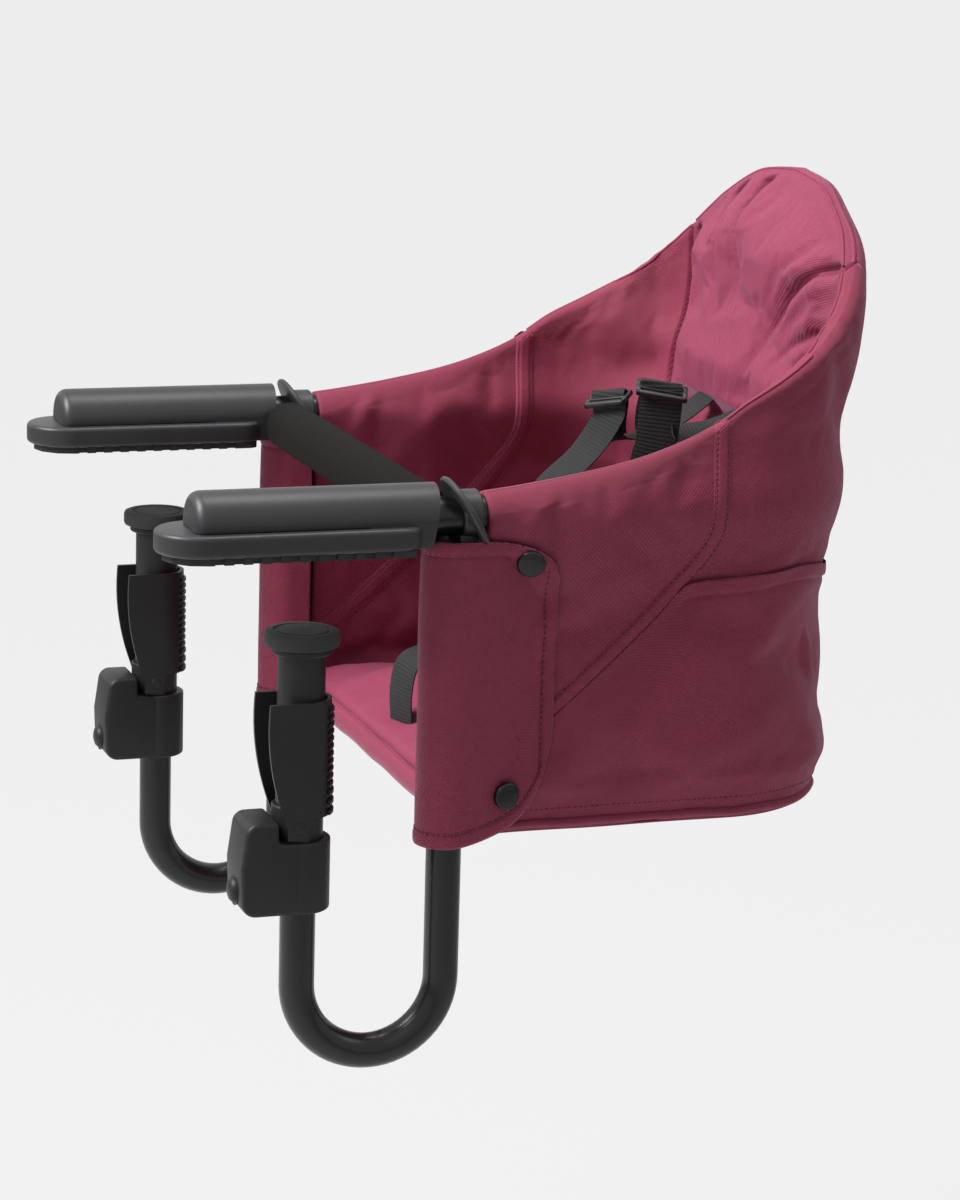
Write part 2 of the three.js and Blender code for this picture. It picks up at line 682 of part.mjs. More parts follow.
function clampLever() {
  const outer = LEVER_OD / 2;
  const lowest = LEVER_PIVOT_Z - LEVER_EAR_RADIUS;
  const side = new THREE.Shape();
  const rear = outer + 3;
  side.moveTo(rear, LEVER_TOP_Z);
  side.lineTo(2 - LEVER_FRONT_REACH, LEVER_TOP_Z);
  side.quadraticCurveTo(-LEVER_FRONT_REACH - 4, (LEVER_TOP_Z + LEVER_PIVOT_Z) / 2,
    LEVER_PIVOT_DY - LEVER_EAR_RADIUS, LEVER_PIVOT_Z);
  side.absarc(LEVER_PIVOT_DY, LEVER_PIVOT_Z, LEVER_EAR_RADIUS, Math.PI, 2 * Math.PI);
  side.lineTo(LEVER_PIVOT_DY + LEVER_EAR_RADIUS + 1, LEVER_BACK_BOTTOM_Z);
  side.lineTo(rear, LEVER_BACK_BOTTOM_Z);
  const limit = across(side, -rear, rear);
  const reach = LEVER_FRONT_REACH + 2;
  const channel = upright(channelPlan(outer, LEVER_ID / 2, reach), lowest - 1, LEVER_TOP_Z, 0, 6);
  const ribs = [];
  const ribPlan = channelPlan(outer + LEVER_RIB_HEIGHT, outer - LEVER_WALL / 2, 4);
  for (let rib = 0; rib < LEVER_RIB_COUNT; rib++) {
    const z = LEVER_BACK_BOTTOM_Z + 2 + rib * LEVER_RIB_PITCH;
    ribs.push(upright(ribPlan, z, z + LEVER_RIB_WIDTH, 0, 6));
  }
  const hole = rodX(boreRadius(TRUNNION_OD / 2 + FIT_GAP, 16), rear, 16);
  hole.translate(0, LEVER_PIVOT_DY, LEVER_PIVOT_Z);
  return toClamp(carve([channel, ...ribs], [hole], limit));
}

// The housing's front box, seen from the side.
function housingSide() {
  const front = -HOUSING_FRONT_REACH;
  const rear = -NECK_OD / 2 + 0.6;
  const side = new THREE.Shape();
  side.moveTo(0, HOUSING_BOTTOM_Z);
  side.lineTo(front + 9, HOUSING_BOTTOM_Z);
  side.quadraticCurveTo(front + 1, HOUSING_BOTTOM_Z, front + 1, HOUSING_BOTTOM_Z + 8);
  side.lineTo(front, HOUSING_BOTTOM_Z + HOUSING_NOSE_RISE);
  side.lineTo(front + 4, HOUSING_TOP_Z - 6);
  side.quadraticCurveTo(front + 5, HOUSING_TOP_Z, front + HOUSING_BROW, HOUSING_TOP_Z);
  side.lineTo(rear, HOUSING_TOP_Z);
  side.lineTo(rear, HOUSING_SHOULDER_Z);
  side.lineTo(0, HOUSING_SHOULDER_Z);
  return side;
}

function clampHousing() {
  const half = HOUSING_HALF_WIDTH;
  const box = across(housingSide(), -half, half, HOUSING_EDGE);
  const barrel = rodZ(HOUSING_REAR_RADIUS, HOUSING_BOTTOM_Z, HOUSING_SHOULDER_Z);
  const neckRear = block(-half, half, 2, half + 2, HOUSING_SHOULDER_Z, HOUSING_TOP_Z + 1);
  const neck = carve([rodZ(NECK_OD / 2, HOUSING_SHOULDER_Z - 1, HOUSING_TOP_Z)], [neckRear]);
  const trunnion = rodX(TRUNNION_OD / 2, LEVER_OD / 2 - FIT_GAP, 16);
  trunnion.translate(0, LEVER_PIVOT_DY, LEVER_PIVOT_Z);
  const postBore = rodZ(boreRadius(POST_OD / 2 + FIT_GAP), HOUSING_BOTTOM_Z + HOUSING_FLOOR,
    HOUSING_TOP_Z + 2);
  const tubeBore = rodZ(boreRadius(LOWER_TUBE_OD / 2 + FIT_GAP), HOUSING_BOTTOM_Z - 1, HOUSING_TOP_Z);
  const wall = HOUSING_FRONT_WALL - HOUSING_FRONT_REACH;
  const buttonHalf = BUTTON_FLANGE_OD / 2 + SLIDE_GAP;
  const buttonRoom = block(-buttonHalf, buttonHalf, wall, -POST_OD / 2, BUTTON_Z - buttonHalf,
    BUTTON_Z + buttonHalf);
  const pawlHalf = PAWL_WIDTH / 2 + SLIDE_GAP;
  const pawlRoom = block(-pawlHalf, pawlHalf, wall, -POST_OD / 2, PAWL_BOTTOM_Z - 2, PAWL_TOP_Z + 3);
  const buttonHole = rodY(boreRadius(BUTTON_OD / 2 + SLIDE_GAP), -2 * HOUSING_FRONT_REACH, wall + 1);
  buttonHole.translate(0, 0, BUTTON_Z);
  const pinHole = rodX(boreRadius(PAWL_PIN_OD / 2 + FIT_GAP, 12), 2 * half, 12);
  pinHole.translate(0, PAWL_PIVOT_DY, PAWL_PIVOT_Z);
  const added = [box, barrel, neck, trunnion];
  return toClamp(carve(added, [postBore, tubeBore, buttonRoom, pawlRoom, buttonHole, pinHole]));
}

// The button, whose stem has a round tip so that it can roll on the tilting pawl.
function releaseButton() {
  const front = -HOUSING_FRONT_REACH - BUTTON_PROUD + 0.6;
  const shoulder = HOUSING_FRONT_WALL - HOUSING_FRONT_REACH + FIT_GAP;
  const tip = PAWL_PIVOT_DY - PAWL_DEPTH / 2 - FIT_GAP;
  const cap = BUTTON_OD / 2;
  const flange = BUTTON_FLANGE_OD / 2;
  const stem = BUTTON_STEM_OD / 2;
  const profile = outline([
    [0, front], [0.55 * cap, front + 0.5], [0.88 * cap, front + 1.7], [cap, front + BUTTON_PROUD],
    [cap, shoulder], [flange, shoulder], [flange, shoulder + BUTTON_FLANGE_HEIGHT],
    [stem, shoulder + BUTTON_FLANGE_HEIGHT], [stem, tip - stem], [0.71 * stem, tip - 0.29 * stem], [0, tip],
  ]);
  const button = new THREE.LatheGeometry(profile.getPoints(), 16);
  return toClamp(button.translate(0, 0, BUTTON_Z));
}

// The rocker that the button tips: its tooth faces the rack on the post.
function lockPawl() {
  const front = PAWL_PIVOT_DY - PAWL_DEPTH / 2;
  const rear = PAWL_PIVOT_DY + PAWL_DEPTH / 2;
  const tooth = -POST_OD / 2 - FIT_GAP;
  const side = outline([
    [front, PAWL_BOTTOM_Z], [rear, PAWL_BOTTOM_Z], [rear, PAWL_TOP_Z - 8],
    [tooth, PAWL_TOP_Z - 4], [tooth, PAWL_TOP_Z - 2.5], [rear, PAWL_TOP_Z], [front, PAWL_TOP_Z],
  ]);
  const rocker = across(side, -PAWL_WIDTH / 2, PAWL_WIDTH / 2);
  const hole = rodX(boreRadius(PAWL_PIN_OD / 2 + FIT_GAP, 12), PAWL_WIDTH, 12);
  hole.translate(0, PAWL_PIVOT_DY, PAWL_PIVOT_Z);
  return toClamp(carve([rocker], [hole]));
}

function pawlPin() {
  const pin = rodX(PAWL_PIN_OD / 2, HOUSING_HALF_WIDTH - FIT_GAP, 12);
  return toClamp(pin.translate(0, PAWL_PIVOT_DY, PAWL_PIVOT_Z));
}

// The coil that holds the pawl's tooth towards the rack.
function pawlSpring() {
  const wire = SPRING_WIRE / 2;
  const front = HOUSING_FRONT_WALL - HOUSING_FRONT_REACH + FIT_GAP + wire;
  const rear = PAWL_PIVOT_DY - PAWL_DEPTH / 2 - FIT_GAP - wire;
  const radius = SPRING_OD / 2 - wire;
  const z = PAWL_TOP_Z - 4;
  const steps = Math.round(SPRING_TURNS * 8);
  const stations = [];
  for (let step = 0; step <= steps; step++) {
    const angle = (step / 8) * 2 * Math.PI;
    const y = THREE.MathUtils.lerp(front, rear, step / steps);
    stations.push(new THREE.Vector3(radius * Math.cos(angle), y, z + radius * Math.sin(angle)));
  }
  const section = new THREE.Shape(circle(wire, 6));
  const coil = new THREE.ExtrudeGeometry(section, { steps, extrudePath: new Route(stations) });
  return toClamp(coil);
}

// Seat walls

// The U of the seat wall in plan, between two insets from its outer face, from the front back.
function wallPlan(outset, inset, frontY) {
  const shape = new THREE.Shape();
  const outer = WALL_CORNER - outset;
  const inner = WALL_CORNER - inset;
  shape.moveTo(CORNER_X + outer, frontY);
  shape.lineTo(CORNER_X + outer, CORNER_Y);
  shape.absarc(CORNER_X, CORNER_Y, outer, 0, Math.PI / 2);
  shape.lineTo(-CORNER_X, CORNER_Y + outer);
  shape.absarc(-CORNER_X, CORNER_Y, outer, Math.PI / 2, Math.PI);
  shape.lineTo(-CORNER_X - outer, frontY);
  shape.lineTo(-CORNER_X - inner, frontY);
  shape.lineTo(-CORNER_X - inner, CORNER_Y);
  shape.absarc(-CORNER_X, CORNER_Y, inner, Math.PI, Math.PI / 2, true);
  shape.lineTo(CORNER_X, CORNER_Y + inner);
  shape.absarc(CORNER_X, CORNER_Y, inner, Math.PI / 2, 0, true);
  shape.lineTo(CORNER_X + inner, frontY);
  return shape;
}

// The sewn strip between the side panel and the bucket, from the rim down to the front.
const STRIP = [
  [STRIP_TOP_Y, STRIP_TOP_Z],
  [STRIP_KNEE_Y, STRIP_KNEE_Z],
  [STRIP_BEND_Y, STRIP_BEND_Z],
  [CUFF_Y, PANEL_FRONT_LOW_Z],
];

function sidePanel() {
  const side = new THREE.Shape();
  side.moveTo(CUFF_Y, RIM_CUFF_Z);
  side.splineThru([[RIM_FRONT_Y, RIM_FRONT_Z], [RIM_MIDDLE_Y, RIM_MIDDLE_Z], STRIP[0]].map(
    ([y, z]) => new THREE.Vector2(y, z)));
  for (const [y, z] of STRIP.slice(1)) side.lineTo(y, z);
  const sheet = across(side, WALL_X - WALL_THICKNESS, WALL_X, PANEL_EDGE, 3);
  const casingEnd = STRIP_KNEE_Y;
  const casing = rodY(CUFF_OD / 2, CUFF_Y, casingEnd).translate(ARM_X, 0, ARM_AXIS_Z);
  const bore = armBore(CUFF_Y - 1, STRIP_TOP_Y + 1).translate(ARM_X, 0, 0);
  return carve([sheet, casing], [bore]);
}

// A point of the rear corner's wall: u runs from the strip to the folding back, v from the bow to the rim.
function wingPoint(u, v, inset) {
  const radius = WALL_CORNER - inset;
  const lastAngle = Math.acos((BACK_HALF + SLIDE_GAP - CORNER_X) / radius);
  const straight = CORNER_Y - STRIP_TOP_Y - FIT_GAP;
  const along = u * (straight + WALL_CORNER * lastAngle) - straight;
  const angle = Math.max(along, 0) / WALL_CORNER;
  const rim = THREE.MathUtils.lerp(STRIP_TOP_Z, WING_REAR_Z, u);
  const z = THREE.MathUtils.lerp(CASING_TOP_Z + FIT_GAP, rim, v);
  const lean = backLean(z) * Math.sin(angle);
  const y = CORNER_Y + Math.min(along, 0) + radius * Math.sin(angle) + lean;
  return [CORNER_X + radius * Math.cos(angle), y, z];
}

function wing() {
  return panel((u, v) => wingPoint(u, v, 0), (u, v) => wingPoint(u, v, WALL_THICKNESS), 10, 4);
}

function seatBucket() {
  const walls = upright(wallPlan(0, WALL_THICKNESS, CUFF_Y), SEAT_BOTTOM_Z, CASING_BOTTOM_Z - FIT_GAP);
  const cutTop = STRIP_TOP_Z;
  const above = outline([
    [CUFF_Y - 1, cutTop], [CUFF_Y - 1, PANEL_FRONT_LOW_Z - SLIDE_GAP],
    ...STRIP.slice(1).reverse().map(([y, z]) => [y + SLIDE_GAP, z - SLIDE_GAP]),
    [STRIP_KNEE_Y + SLIDE_GAP, cutTop],
  ]);
  const loopLow = ARM_AXIS_Z - LOOP_OUTER - SLIDE_GAP;
  const loopHalf = LOOP_WIDTH / 2 + 2;
  const notch = block(-loopHalf, loopHalf, CORNER_Y, WALL_REAR_Y + 1, loopLow, ARM_AXIS_Z);
  return carve([walls], [across(above, -WALL_SPACING, WALL_SPACING), notch]);
}

// The pocket, from the strip round the rear to the other strip, clear of the leg flaps.
function backPocket() {
  const front = FLAP_REAR_Y + 1 + SLIDE_GAP;
  const plan = wallPlan(-POCKET_THICKNESS - FIT_GAP, -FIT_GAP, front);
  const sheet = upright(plan, POCKET_BOTTOM_Z, POCKET_TOP_Z);
  const [bend, low] = STRIP.slice(2).map(([y, z]) => [y + POCKET_SEAM, z - POCKET_SEAM]);
  const above = outline([[front - 1, POCKET_TOP_Z + 1], [low[0], POCKET_TOP_Z + 1], low, bend,
    [bend[0], POCKET_TOP_Z + 1]]);
  return carve([sheet], [across(above, -WALL_SPACING, WALL_SPACING)]);
}

// A filled plan inside the seat walls.
function basePlan(inset, frontY) {
  const corner = WALL_CORNER - WALL_THICKNESS - inset;
  const shape = new THREE.Shape();
  shape.moveTo(CORNER_X + corner, frontY);
  shape.lineTo(CORNER_X + corner, CORNER_Y);
  shape.absarc(CORNER_X, CORNER_Y, corner, 0, Math.PI / 2);
  shape.lineTo(-CORNER_X, CORNER_Y + corner);
  shape.absarc(-CORNER_X, CORNER_Y, corner, Math.PI / 2, Math.PI);
  shape.lineTo(-CORNER_X - corner, frontY);
  return shape;
}

function bottomPanel() {
  return upright(basePlan(FIT_GAP, BASE_FRONT_Y), SEAT_BOTTOM_Z, SEAT_BOTTOM_Z + BOTTOM_PANEL_THICKNESS);
}

function seatBoard() {
  return upright(basePlan(BOARD_INSET, BASE_FRONT_Y), BOARD_BOTTOM_Z, BOARD_BOTTOM_Z + BOARD_THICKNESS, 1);
}

function cushionTop(u, v) {
  const rise = (t) => 1 - (2 * t - 1) ** 4;
  return CUSHION_BOTTOM_Z + CUSHION_EDGE + CUSHION_CROWN * rise(u) * rise(v);
}

// The seat cushion: flat below, crowned above, with its sides drawn in between the corners.
function seatCushion() {
  const corner = WALL_CORNER - WALL_THICKNESS - SLIDE_GAP;
  const rearY = CORNER_Y + corner;
  const point = (u, v, z) => {
    const y = THREE.MathUtils.lerp(BASE_FRONT_Y, rearY, v);
    const beyond = Math.max(y - CORNER_Y, 0);
    const waist = CUSHION_WAIST * Math.sin(v * Math.PI);
    const halfWidth = CORNER_X + Math.sqrt(Math.max(corner * corner - beyond * beyond, 0)) - waist;
    return [halfWidth * (2 * u - 1), y, z];
  };
  return panel((u, v) => point(u, v, cushionTop(u, v)), (u, v) => point(u, v, CUSHION_BOTTOM_Z), 14, 12);
}

function frontBinding() {
  const rear = BASE_FRONT_Y - FIT_GAP;
  const front = rear - BINDING_DEPTH;
  const [low, high] = [SEAT_BOTTOM_Z, SEAT_BOTTOM_Z + BINDING_HEIGHT];
  const side = new THREE.Shape();
  side.moveTo(rear, low);
  side.lineTo(rear, high);
  side.bezierCurveTo(front - 1, high, front - 1, low, rear, low);
  return across(side, -BINDING_HALF, BINDING_HALF);
}

// Leg flaps

// The flap in plan: round the front of the leg, then back along the side panel.
function flapPlan() {
  const inner = FLAP_INNER_RADIUS;
  const outer = inner + FLAP_THICKNESS;
  const tail = WALL_X - ARM_X + FIT_GAP;
  const shape = new THREE.Shape();
  const rear = FLAP_REAR_Y - LEG_Y;
  const innerEnd = BASE_FRONT_Y - FIT_GAP - LEG_Y;
  shape.moveTo(-outer, innerEnd);
  shape.lineTo(-outer, 0);
  shape.absarc(0, 0, outer, Math.PI, 2 * Math.PI);
  shape.lineTo(tail + FLAP_THICKNESS, rear);
  shape.lineTo(tail, rear);
  shape.lineTo(inner, 0);
  shape.absarc(0, 0, inner, 2 * Math.PI, Math.PI, true);
  shape.lineTo(-inner, innerEnd);
  return shape;
}

function legFlap() {
  const side = new THREE.Shape();
  const front = LEG_Y - SOCKET_OD;
  side.moveTo(front, FLAP_TOP_Z);
  side.lineTo(LEG_Y, FLAP_TOP_Z);
  side.lineTo(FLAP_REAR_Y - FLAP_CORNER, FLAP_REAR_TOP_Z);
  side.quadraticCurveTo(FLAP_REAR_Y + 1, FLAP_REAR_TOP_Z, FLAP_REAR_Y + 1, FLAP_REAR_TOP_Z - FLAP_CORNER);
  side.lineTo(FLAP_REAR_Y + 1, FLAP_REAR_LOW_Z);
  side.quadraticCurveTo(FLAP_REAR_Y, FLAP_HEEL_Z + FLAP_CORNER, FLAP_HEEL_Y, FLAP_HEEL_Z);
  side.lineTo(LEG_Y, FLAP_BOTTOM_Z);
  side.lineTo(front, FLAP_BOTTOM_Z);
  const limit = across(side, ARM_X - SOCKET_OD, ARM_X + SOCKET_OD);
  const wrap = upright(flapPlan(), FLAP_BOTTOM_Z - 1, FLAP_TOP_Z + 1).translate(ARM_X, LEG_Y, 0);
  return carve([wrap], [], limit);
}

// A domed stud cap on the flap's outer face.
function studCap(y, z) {
  const radius = STUD_OD / 2;
  const profile = outline([[0, 0], [radius, 0], [radius, 0.5 * STUD_HEIGHT],
    [0.85 * radius, 0.9 * STUD_HEIGHT], [0.5 * radius, STUD_HEIGHT], [0, STUD_HEIGHT]]);
  const outer = FLAP_INNER_RADIUS + FLAP_THICKNESS;
  const tail = WALL_X - ARM_X + FIT_GAP + FLAP_THICKNESS;
  const along = (y - LEG_Y) / (FLAP_REAR_Y - LEG_Y);
  const splay = Math.atan2(outer - tail, FLAP_REAR_Y - LEG_Y);
  const cap = new THREE.LatheGeometry(profile.getPoints(), 16).rotateZ(-Math.PI / 2).rotateZ(splay);
  const x = ARM_X + THREE.MathUtils.lerp(outer, tail, along);
  return cap.translate(x + FIT_GAP, y, z);
}

// Folding back

const smooth = (t) => Math.sin((THREE.MathUtils.clamp(t, 0, 1) * Math.PI) / 2);

// How far the back leans out at a height. Its arched top leans out further.
function backLean(z) {
  const top = Math.max(z - BACK_TOP_LEAN_FROM_Z, 0) / (BACK_TOP_Z - BACK_TOP_LEAN_FROM_Z);
  const lower = smooth((z - BACK_LEAN_FROM_Z) / (BACK_LEAN_TO_Z - BACK_LEAN_FROM_Z));
  return BACK_LEAN * lower + BACK_TOP_LEAN * top * top;
}

// The height of the back's arched top, at a distance across and with a margin inside the edge.
function backTop(x, margin) {
  return BACK_TOP_Z - margin - BACK_ARCH_DROP * (Math.abs(x) / BACK_HALF) ** BACK_ARCH_POWER;
}

// The outer face of the back.
function backFaceY(x, z) {
  const beyond = Math.max(Math.abs(x) - CORNER_X, 0);
  const plan = CORNER_Y + Math.sqrt(WALL_CORNER * WALL_CORNER - beyond * beyond);
  const roll = Math.max(z - (backTop(x, 0) - BACK_ROLL_HEIGHT), 0) / BACK_ROLL_HEIGHT;
  return plan + backLean(z) - BACK_TOP_ROLL * roll * roll;
}

// A layer of the back between two depths below its outer face.
function backLayer(depthOut, depthIn, margin, lowZ, uSteps, vSteps) {
  const point = (u, v, depth) => {
    const x = (BACK_HALF - margin) * (2 * u - 1);
    const z = THREE.MathUtils.lerp(lowZ, backTop(x, margin), v);
    return [x, backFaceY(x, z) - depth(u, v), z];
  };
  return panel((u, v) => point(u, v, depthOut), (u, v) => point(u, v, depthIn), uSteps, vSteps);
}

// The outer cover, whose sewn hem is a loop round the cased bow.
function backCover() {
  const sheet = backLayer(() => 0, () => BACK_COVER, 0, BACK_LOW_Z, 16, 8);
  const loop = rodX(LOOP_OUTER, LOOP_WIDTH / 2);
  const hem = block(-LOOP_WIDTH / 2, LOOP_WIDTH / 2, WALL_REAR_Y - HINGE_Y - BACK_COVER,
    WALL_REAR_Y - HINGE_Y, 0.8 * LOOP_OUTER, BACK_LOW_Z + 2 - ARM_AXIS_Z);
  const bore = rodX(LOOP_INNER, LOOP_WIDTH);
  const sewn = carve([loop, hem], [bore]).translate(0, HINGE_Y, ARM_AXIS_Z);
  return carve([sheet, sewn]);
}

function backBoard() {
  const depth = BACK_COVER + BACK_LAYER_GAP;
  return backLayer(() => depth, () => depth + BACK_BOARD, BACK_BOARD_INSET, BACK_LOW_Z + 3, 14, 8);
}

// The pad's thickness: full in the middle, thin at the edges, with soft pleats that fade below the top.
function padThickness(u, v) {
  const fill = (1 - (2 * u - 1) ** 4) * (1 - (2 * v - 1) ** 6);
  const x = (2 * u - 1) * BACK_HALF;
  const pleat = BACK_PLEAT_DEPTH * Math.cos((x / BACK_PLEAT_PITCH) * 2 * Math.PI) * v * v;
  return BACK_PAD_EDGE + (BACK_PAD_CENTRE - BACK_PAD_EDGE + pleat) * fill;
}

const PAD_DEPTH = BACK_COVER + BACK_BOARD + 2 * BACK_LAYER_GAP;

function backPad() {
  return backLayer(() => PAD_DEPTH, (u, v) => PAD_DEPTH + padThickness(u, v), 1, BACK_LOW_Z, 20, 10);
}

// Harness

function smoothRoute(points) {
  return new THREE.CatmullRomCurve3(points.map((p) => new THREE.Vector3(...p)));
}

// A ribbon of webbing along a smooth route, with its width held towards a given direction.
function webbing(route, widthways, steps = 14) {
  const point = (u, v, depth) => {
    const along = route.getTangentAt(u);
    const wide = widthways.clone().addScaledVector(along, -along.dot(widthways)).normalize();
    const flat = along.clone().cross(wide);
    const p = route.getPointAt(u);
    return p.addScaledVector(wide, (v - 0.5) * WEBBING_WIDTH).addScaledVector(flat, depth).toArray();
  };
  const half = WEBBING_THICKNESS / 2;
  return panel((u, v) => point(u, v, half), (u, v) => point(u, v, -half), steps, 1);
}

const padFaceY = (x, z) => {
  const u = (x / (BACK_HALF - 1) + 1) / 2;
  const v = (z - BACK_LOW_Z) / (backTop(x, 1) - BACK_LOW_Z);
  return backFaceY(x, z) - PAD_DEPTH - padThickness(u, v);
};

// The straps leave the back at a slot, hang through their adjusters and run down to the buckle.
// The left one hangs steeper, as in use.
const STRAP_SLOT_Z = 76;
const STRAP_LEFT = [[SHOULDER_X, 190, 60], [SHOULDER_X - 1, 184, 32], [SHOULDER_X - 3, 173, -4],
  [25, 126, -50]];
const STRAP_RIGHT = [[-SHOULDER_X, 187, 43], [1 - SHOULDER_X, 166, 12], [3 - SHOULDER_X, 141, -15],
  [-23, 110, -46]];

function shoulderRoute(side, route) {
  const start = [side * SHOULDER_X, padFaceY(SHOULDER_X, STRAP_SLOT_Z) - SLIDE_GAP, STRAP_SLOT_Z];
  const over = [side * SHOULDER_X, (start[1] + route[0][1]) / 2, (STRAP_SLOT_Z + route[0][2]) / 2 + 3];
  const end = [side * STRAP_END_X, BUCKLE_Y + 6, BUCKLE_Z + BUCKLE_HEIGHT / 2 + WEBBING_THICKNESS];
  return smoothRoute([start, over, ...route, end]);
}

function shoulderStrap(side, route) {
  return webbing(shoulderRoute(side, route), AXIS_X, 22);
}

// A flat slide with a middle bar, in front of the strap.
function adjuster(side, route) {
  const [half, high] = [ADJUSTER_WIDTH / 2, ADJUSTER_HEIGHT / 2];
  const frame = outline([[-half, -high], [half, -high], [half, high], [-half, high]]);
  const slotHalf = WEBBING_WIDTH / 2 + 1;
  const slotHigh = (ADJUSTER_HEIGHT - 3 * ADJUSTER_BAR) / 2;
  const deep = 2 * ADJUSTER_THICKNESS;
  const window = (z) => block(-slotHalf, slotHalf, -deep, deep, z - slotHigh / 2, z + slotHigh / 2);
  const offset = (ADJUSTER_BAR + slotHigh) / 2;
  const slide = carve([endwise(frame, -ADJUSTER_THICKNESS, 0, 0.8)], [window(offset), window(-offset)]);
  const strap = shoulderRoute(side, route);
  const seat = 2 / (strap.points.length - 1);
  const run = strap.getTangent(seat);
  const pitch = Math.atan2(run.y, -run.z);
  slide.translate(0, -WEBBING_THICKNESS / 2 - ADJUSTER_GAP, 0).rotateX(pitch);
  const [x, y, z] = strap.getPoint(seat).toArray();
  return slide.translate(x, y, z);
}

function waistStrap() {
  const reach = WALL_CORNER - WALL_THICKNESS - FIT_GAP - WEBBING_THICKNESS / 2;
  const turn = WAIST_WALL_TURN;
  const wall = [CORNER_X + reach * Math.cos(turn), CORNER_Y + reach * Math.sin(turn), WAIST_WALL_Z];
  const corner = [CORNER_X, WAIST_CORNER_Y, WAIST_CORNER_Z];
  const lap = [WAIST_LAP_X, WAIST_LAP_Y, WAIST_LAP_Z];
  const tongue = [BUCKLE_WIDTH / 2 + WEBBING_THICKNESS + FIT_GAP, BUCKLE_Y + 3, BUCKLE_Z - 2];
  return webbing(smoothRoute([wall, corner, lap, tongue]), AXIS_Z);
}

function crotchStrap() {
  const seatDepth = WALL_REAR_Y - WALL_THICKNESS - BASE_FRONT_Y;
  const seam = cushionTop(0.5, CROTCH_SEAM / seatDepth);
  const route = [[0, BASE_FRONT_Y + CROTCH_SEAM, seam + FIT_GAP], [0, BASE_FRONT_Y + CROTCH_SEAM + 3, -118],
    [0, BUCKLE_Y - 2, BUCKLE_Z - BUCKLE_HEIGHT / 2 - 1]];
  return webbing(smoothRoute(route), AXIS_X, 8);
}

function buckleBody() {
  const half = BUCKLE_WIDTH / 2;
  const high = BUCKLE_HEIGHT / 2;
  const corner = 7;
  const face = new THREE.Shape();
  face.moveTo(half, -high + corner);
  face.lineTo(half, high - corner);
  face.absarc(half - corner, high - corner, corner, 0, Math.PI / 2);
  face.lineTo(corner - half, high);
  face.absarc(corner - half, high - corner, corner, Math.PI / 2, Math.PI);
  face.lineTo(-half, corner - high);
  face.absarc(corner - half, corner - high, corner, Math.PI, 1.5 * Math.PI);
  face.lineTo(half - corner, -high);
  face.absarc(half - corner, corner - high, corner, 1.5 * Math.PI, 2 * Math.PI);
  const body = endwise(face, -BUCKLE_DEPTH / 2, BUCKLE_DEPTH / 2, 2);
  const pressed = BUCKLE_BUTTON_LENGTH - BUCKLE_BUTTON_PROUD + BUCKLE_BUTTON_TRAVEL;
  const floor = pressed - BUCKLE_DEPTH / 2 + FIT_GAP;
  const well = rodY(boreRadius(BUCKLE_BUTTON_OD / 2 + SLIDE_GAP), -BUCKLE_DEPTH, floor);
  return carve([body], [well]).translate(0, BUCKLE_Y, BUCKLE_Z);
}

function buckleButton() {
  const radius = BUCKLE_BUTTON_OD / 2;
  const front = -BUCKLE_DEPTH / 2 - BUCKLE_BUTTON_PROUD;
  const profile = outline([[0, front], [0.8 * radius, front + 0.3], [radius, front + 1.2],
    [radius, front + BUCKLE_BUTTON_LENGTH], [0, front + BUCKLE_BUTTON_LENGTH]]);
  return new THREE.LatheGeometry(profile.getPoints(), ROUND).translate(0, BUCKLE_Y, BUCKLE_Z);
}

// Assembly

placePair("arm_tube", armTube(), PAINTED_TUBE);
place("rear_bow", rearBow(), PAINTED_TUBE);
place("bow_casing", bowCasing(), FABRIC);
place("crossbar_tube", crossbarTube(), PAINTED_TUBE);
place("crossbar_foam", crossbarFoam(), FOAM);
placePair("grip_dome", gripDome(), MOULDED_PLASTIC);
placePair("grip_ledge", gripLedge(), MOULDED_PLASTIC);
placePair("grip_tread", gripTread(), RUBBER);
placePair("leg_bracket", legBracket(), MOULDED_PLASTIC);

placePair("lower_arm_tube", lowerArmTube(), PAINTED_TUBE);
placePair("clamp_housing", clampHousing(), CLAMP_PLASTIC);
placePair("clamp_post", clampPost(), CLAMP_PLASTIC);
placePair("clamp_foot", clampFoot(), RUBBER);
placePair("clamp_lever", clampLever(), CLAMP_PLASTIC);
placePair("release_button", releaseButton(), CLAMP_PLASTIC);
placePair("lock_pawl", lockPawl(), STEEL);
placePair("pawl_pin", pawlPin(), STEEL);
placePair("pawl_spring", pawlSpring(), STEEL);

placePair("side_panel", sidePanel(), FABRIC);
placePair("wing", wing(), FABRIC);
placePair("leg_flap", legFlap(), FABRIC);
placePair("upper_stud", studCap(UPPER_STUD_Y, UPPER_STUD_Z), MOULDED_PLASTIC);
placePair("lower_stud", studCap(LOWER_STUD_Y, LOWER_STUD_Z), MOULDED_PLASTIC);
place("seat_bucket", seatBucket(), FABRIC);
place("back_pocket", backPocket(), FABRIC);
place("bottom_panel", bottomPanel(), FABRIC);
place("seat_board", seatBoard(), STIFFENER);
place("seat_cushion", seatCushion(), LINING);
place("front_binding", frontBinding(), FABRIC);

place("back_cover", backCover(), FABRIC);
place("back_board", backBoard(), STIFFENER);
place("back_pad", backPad(), LINING);

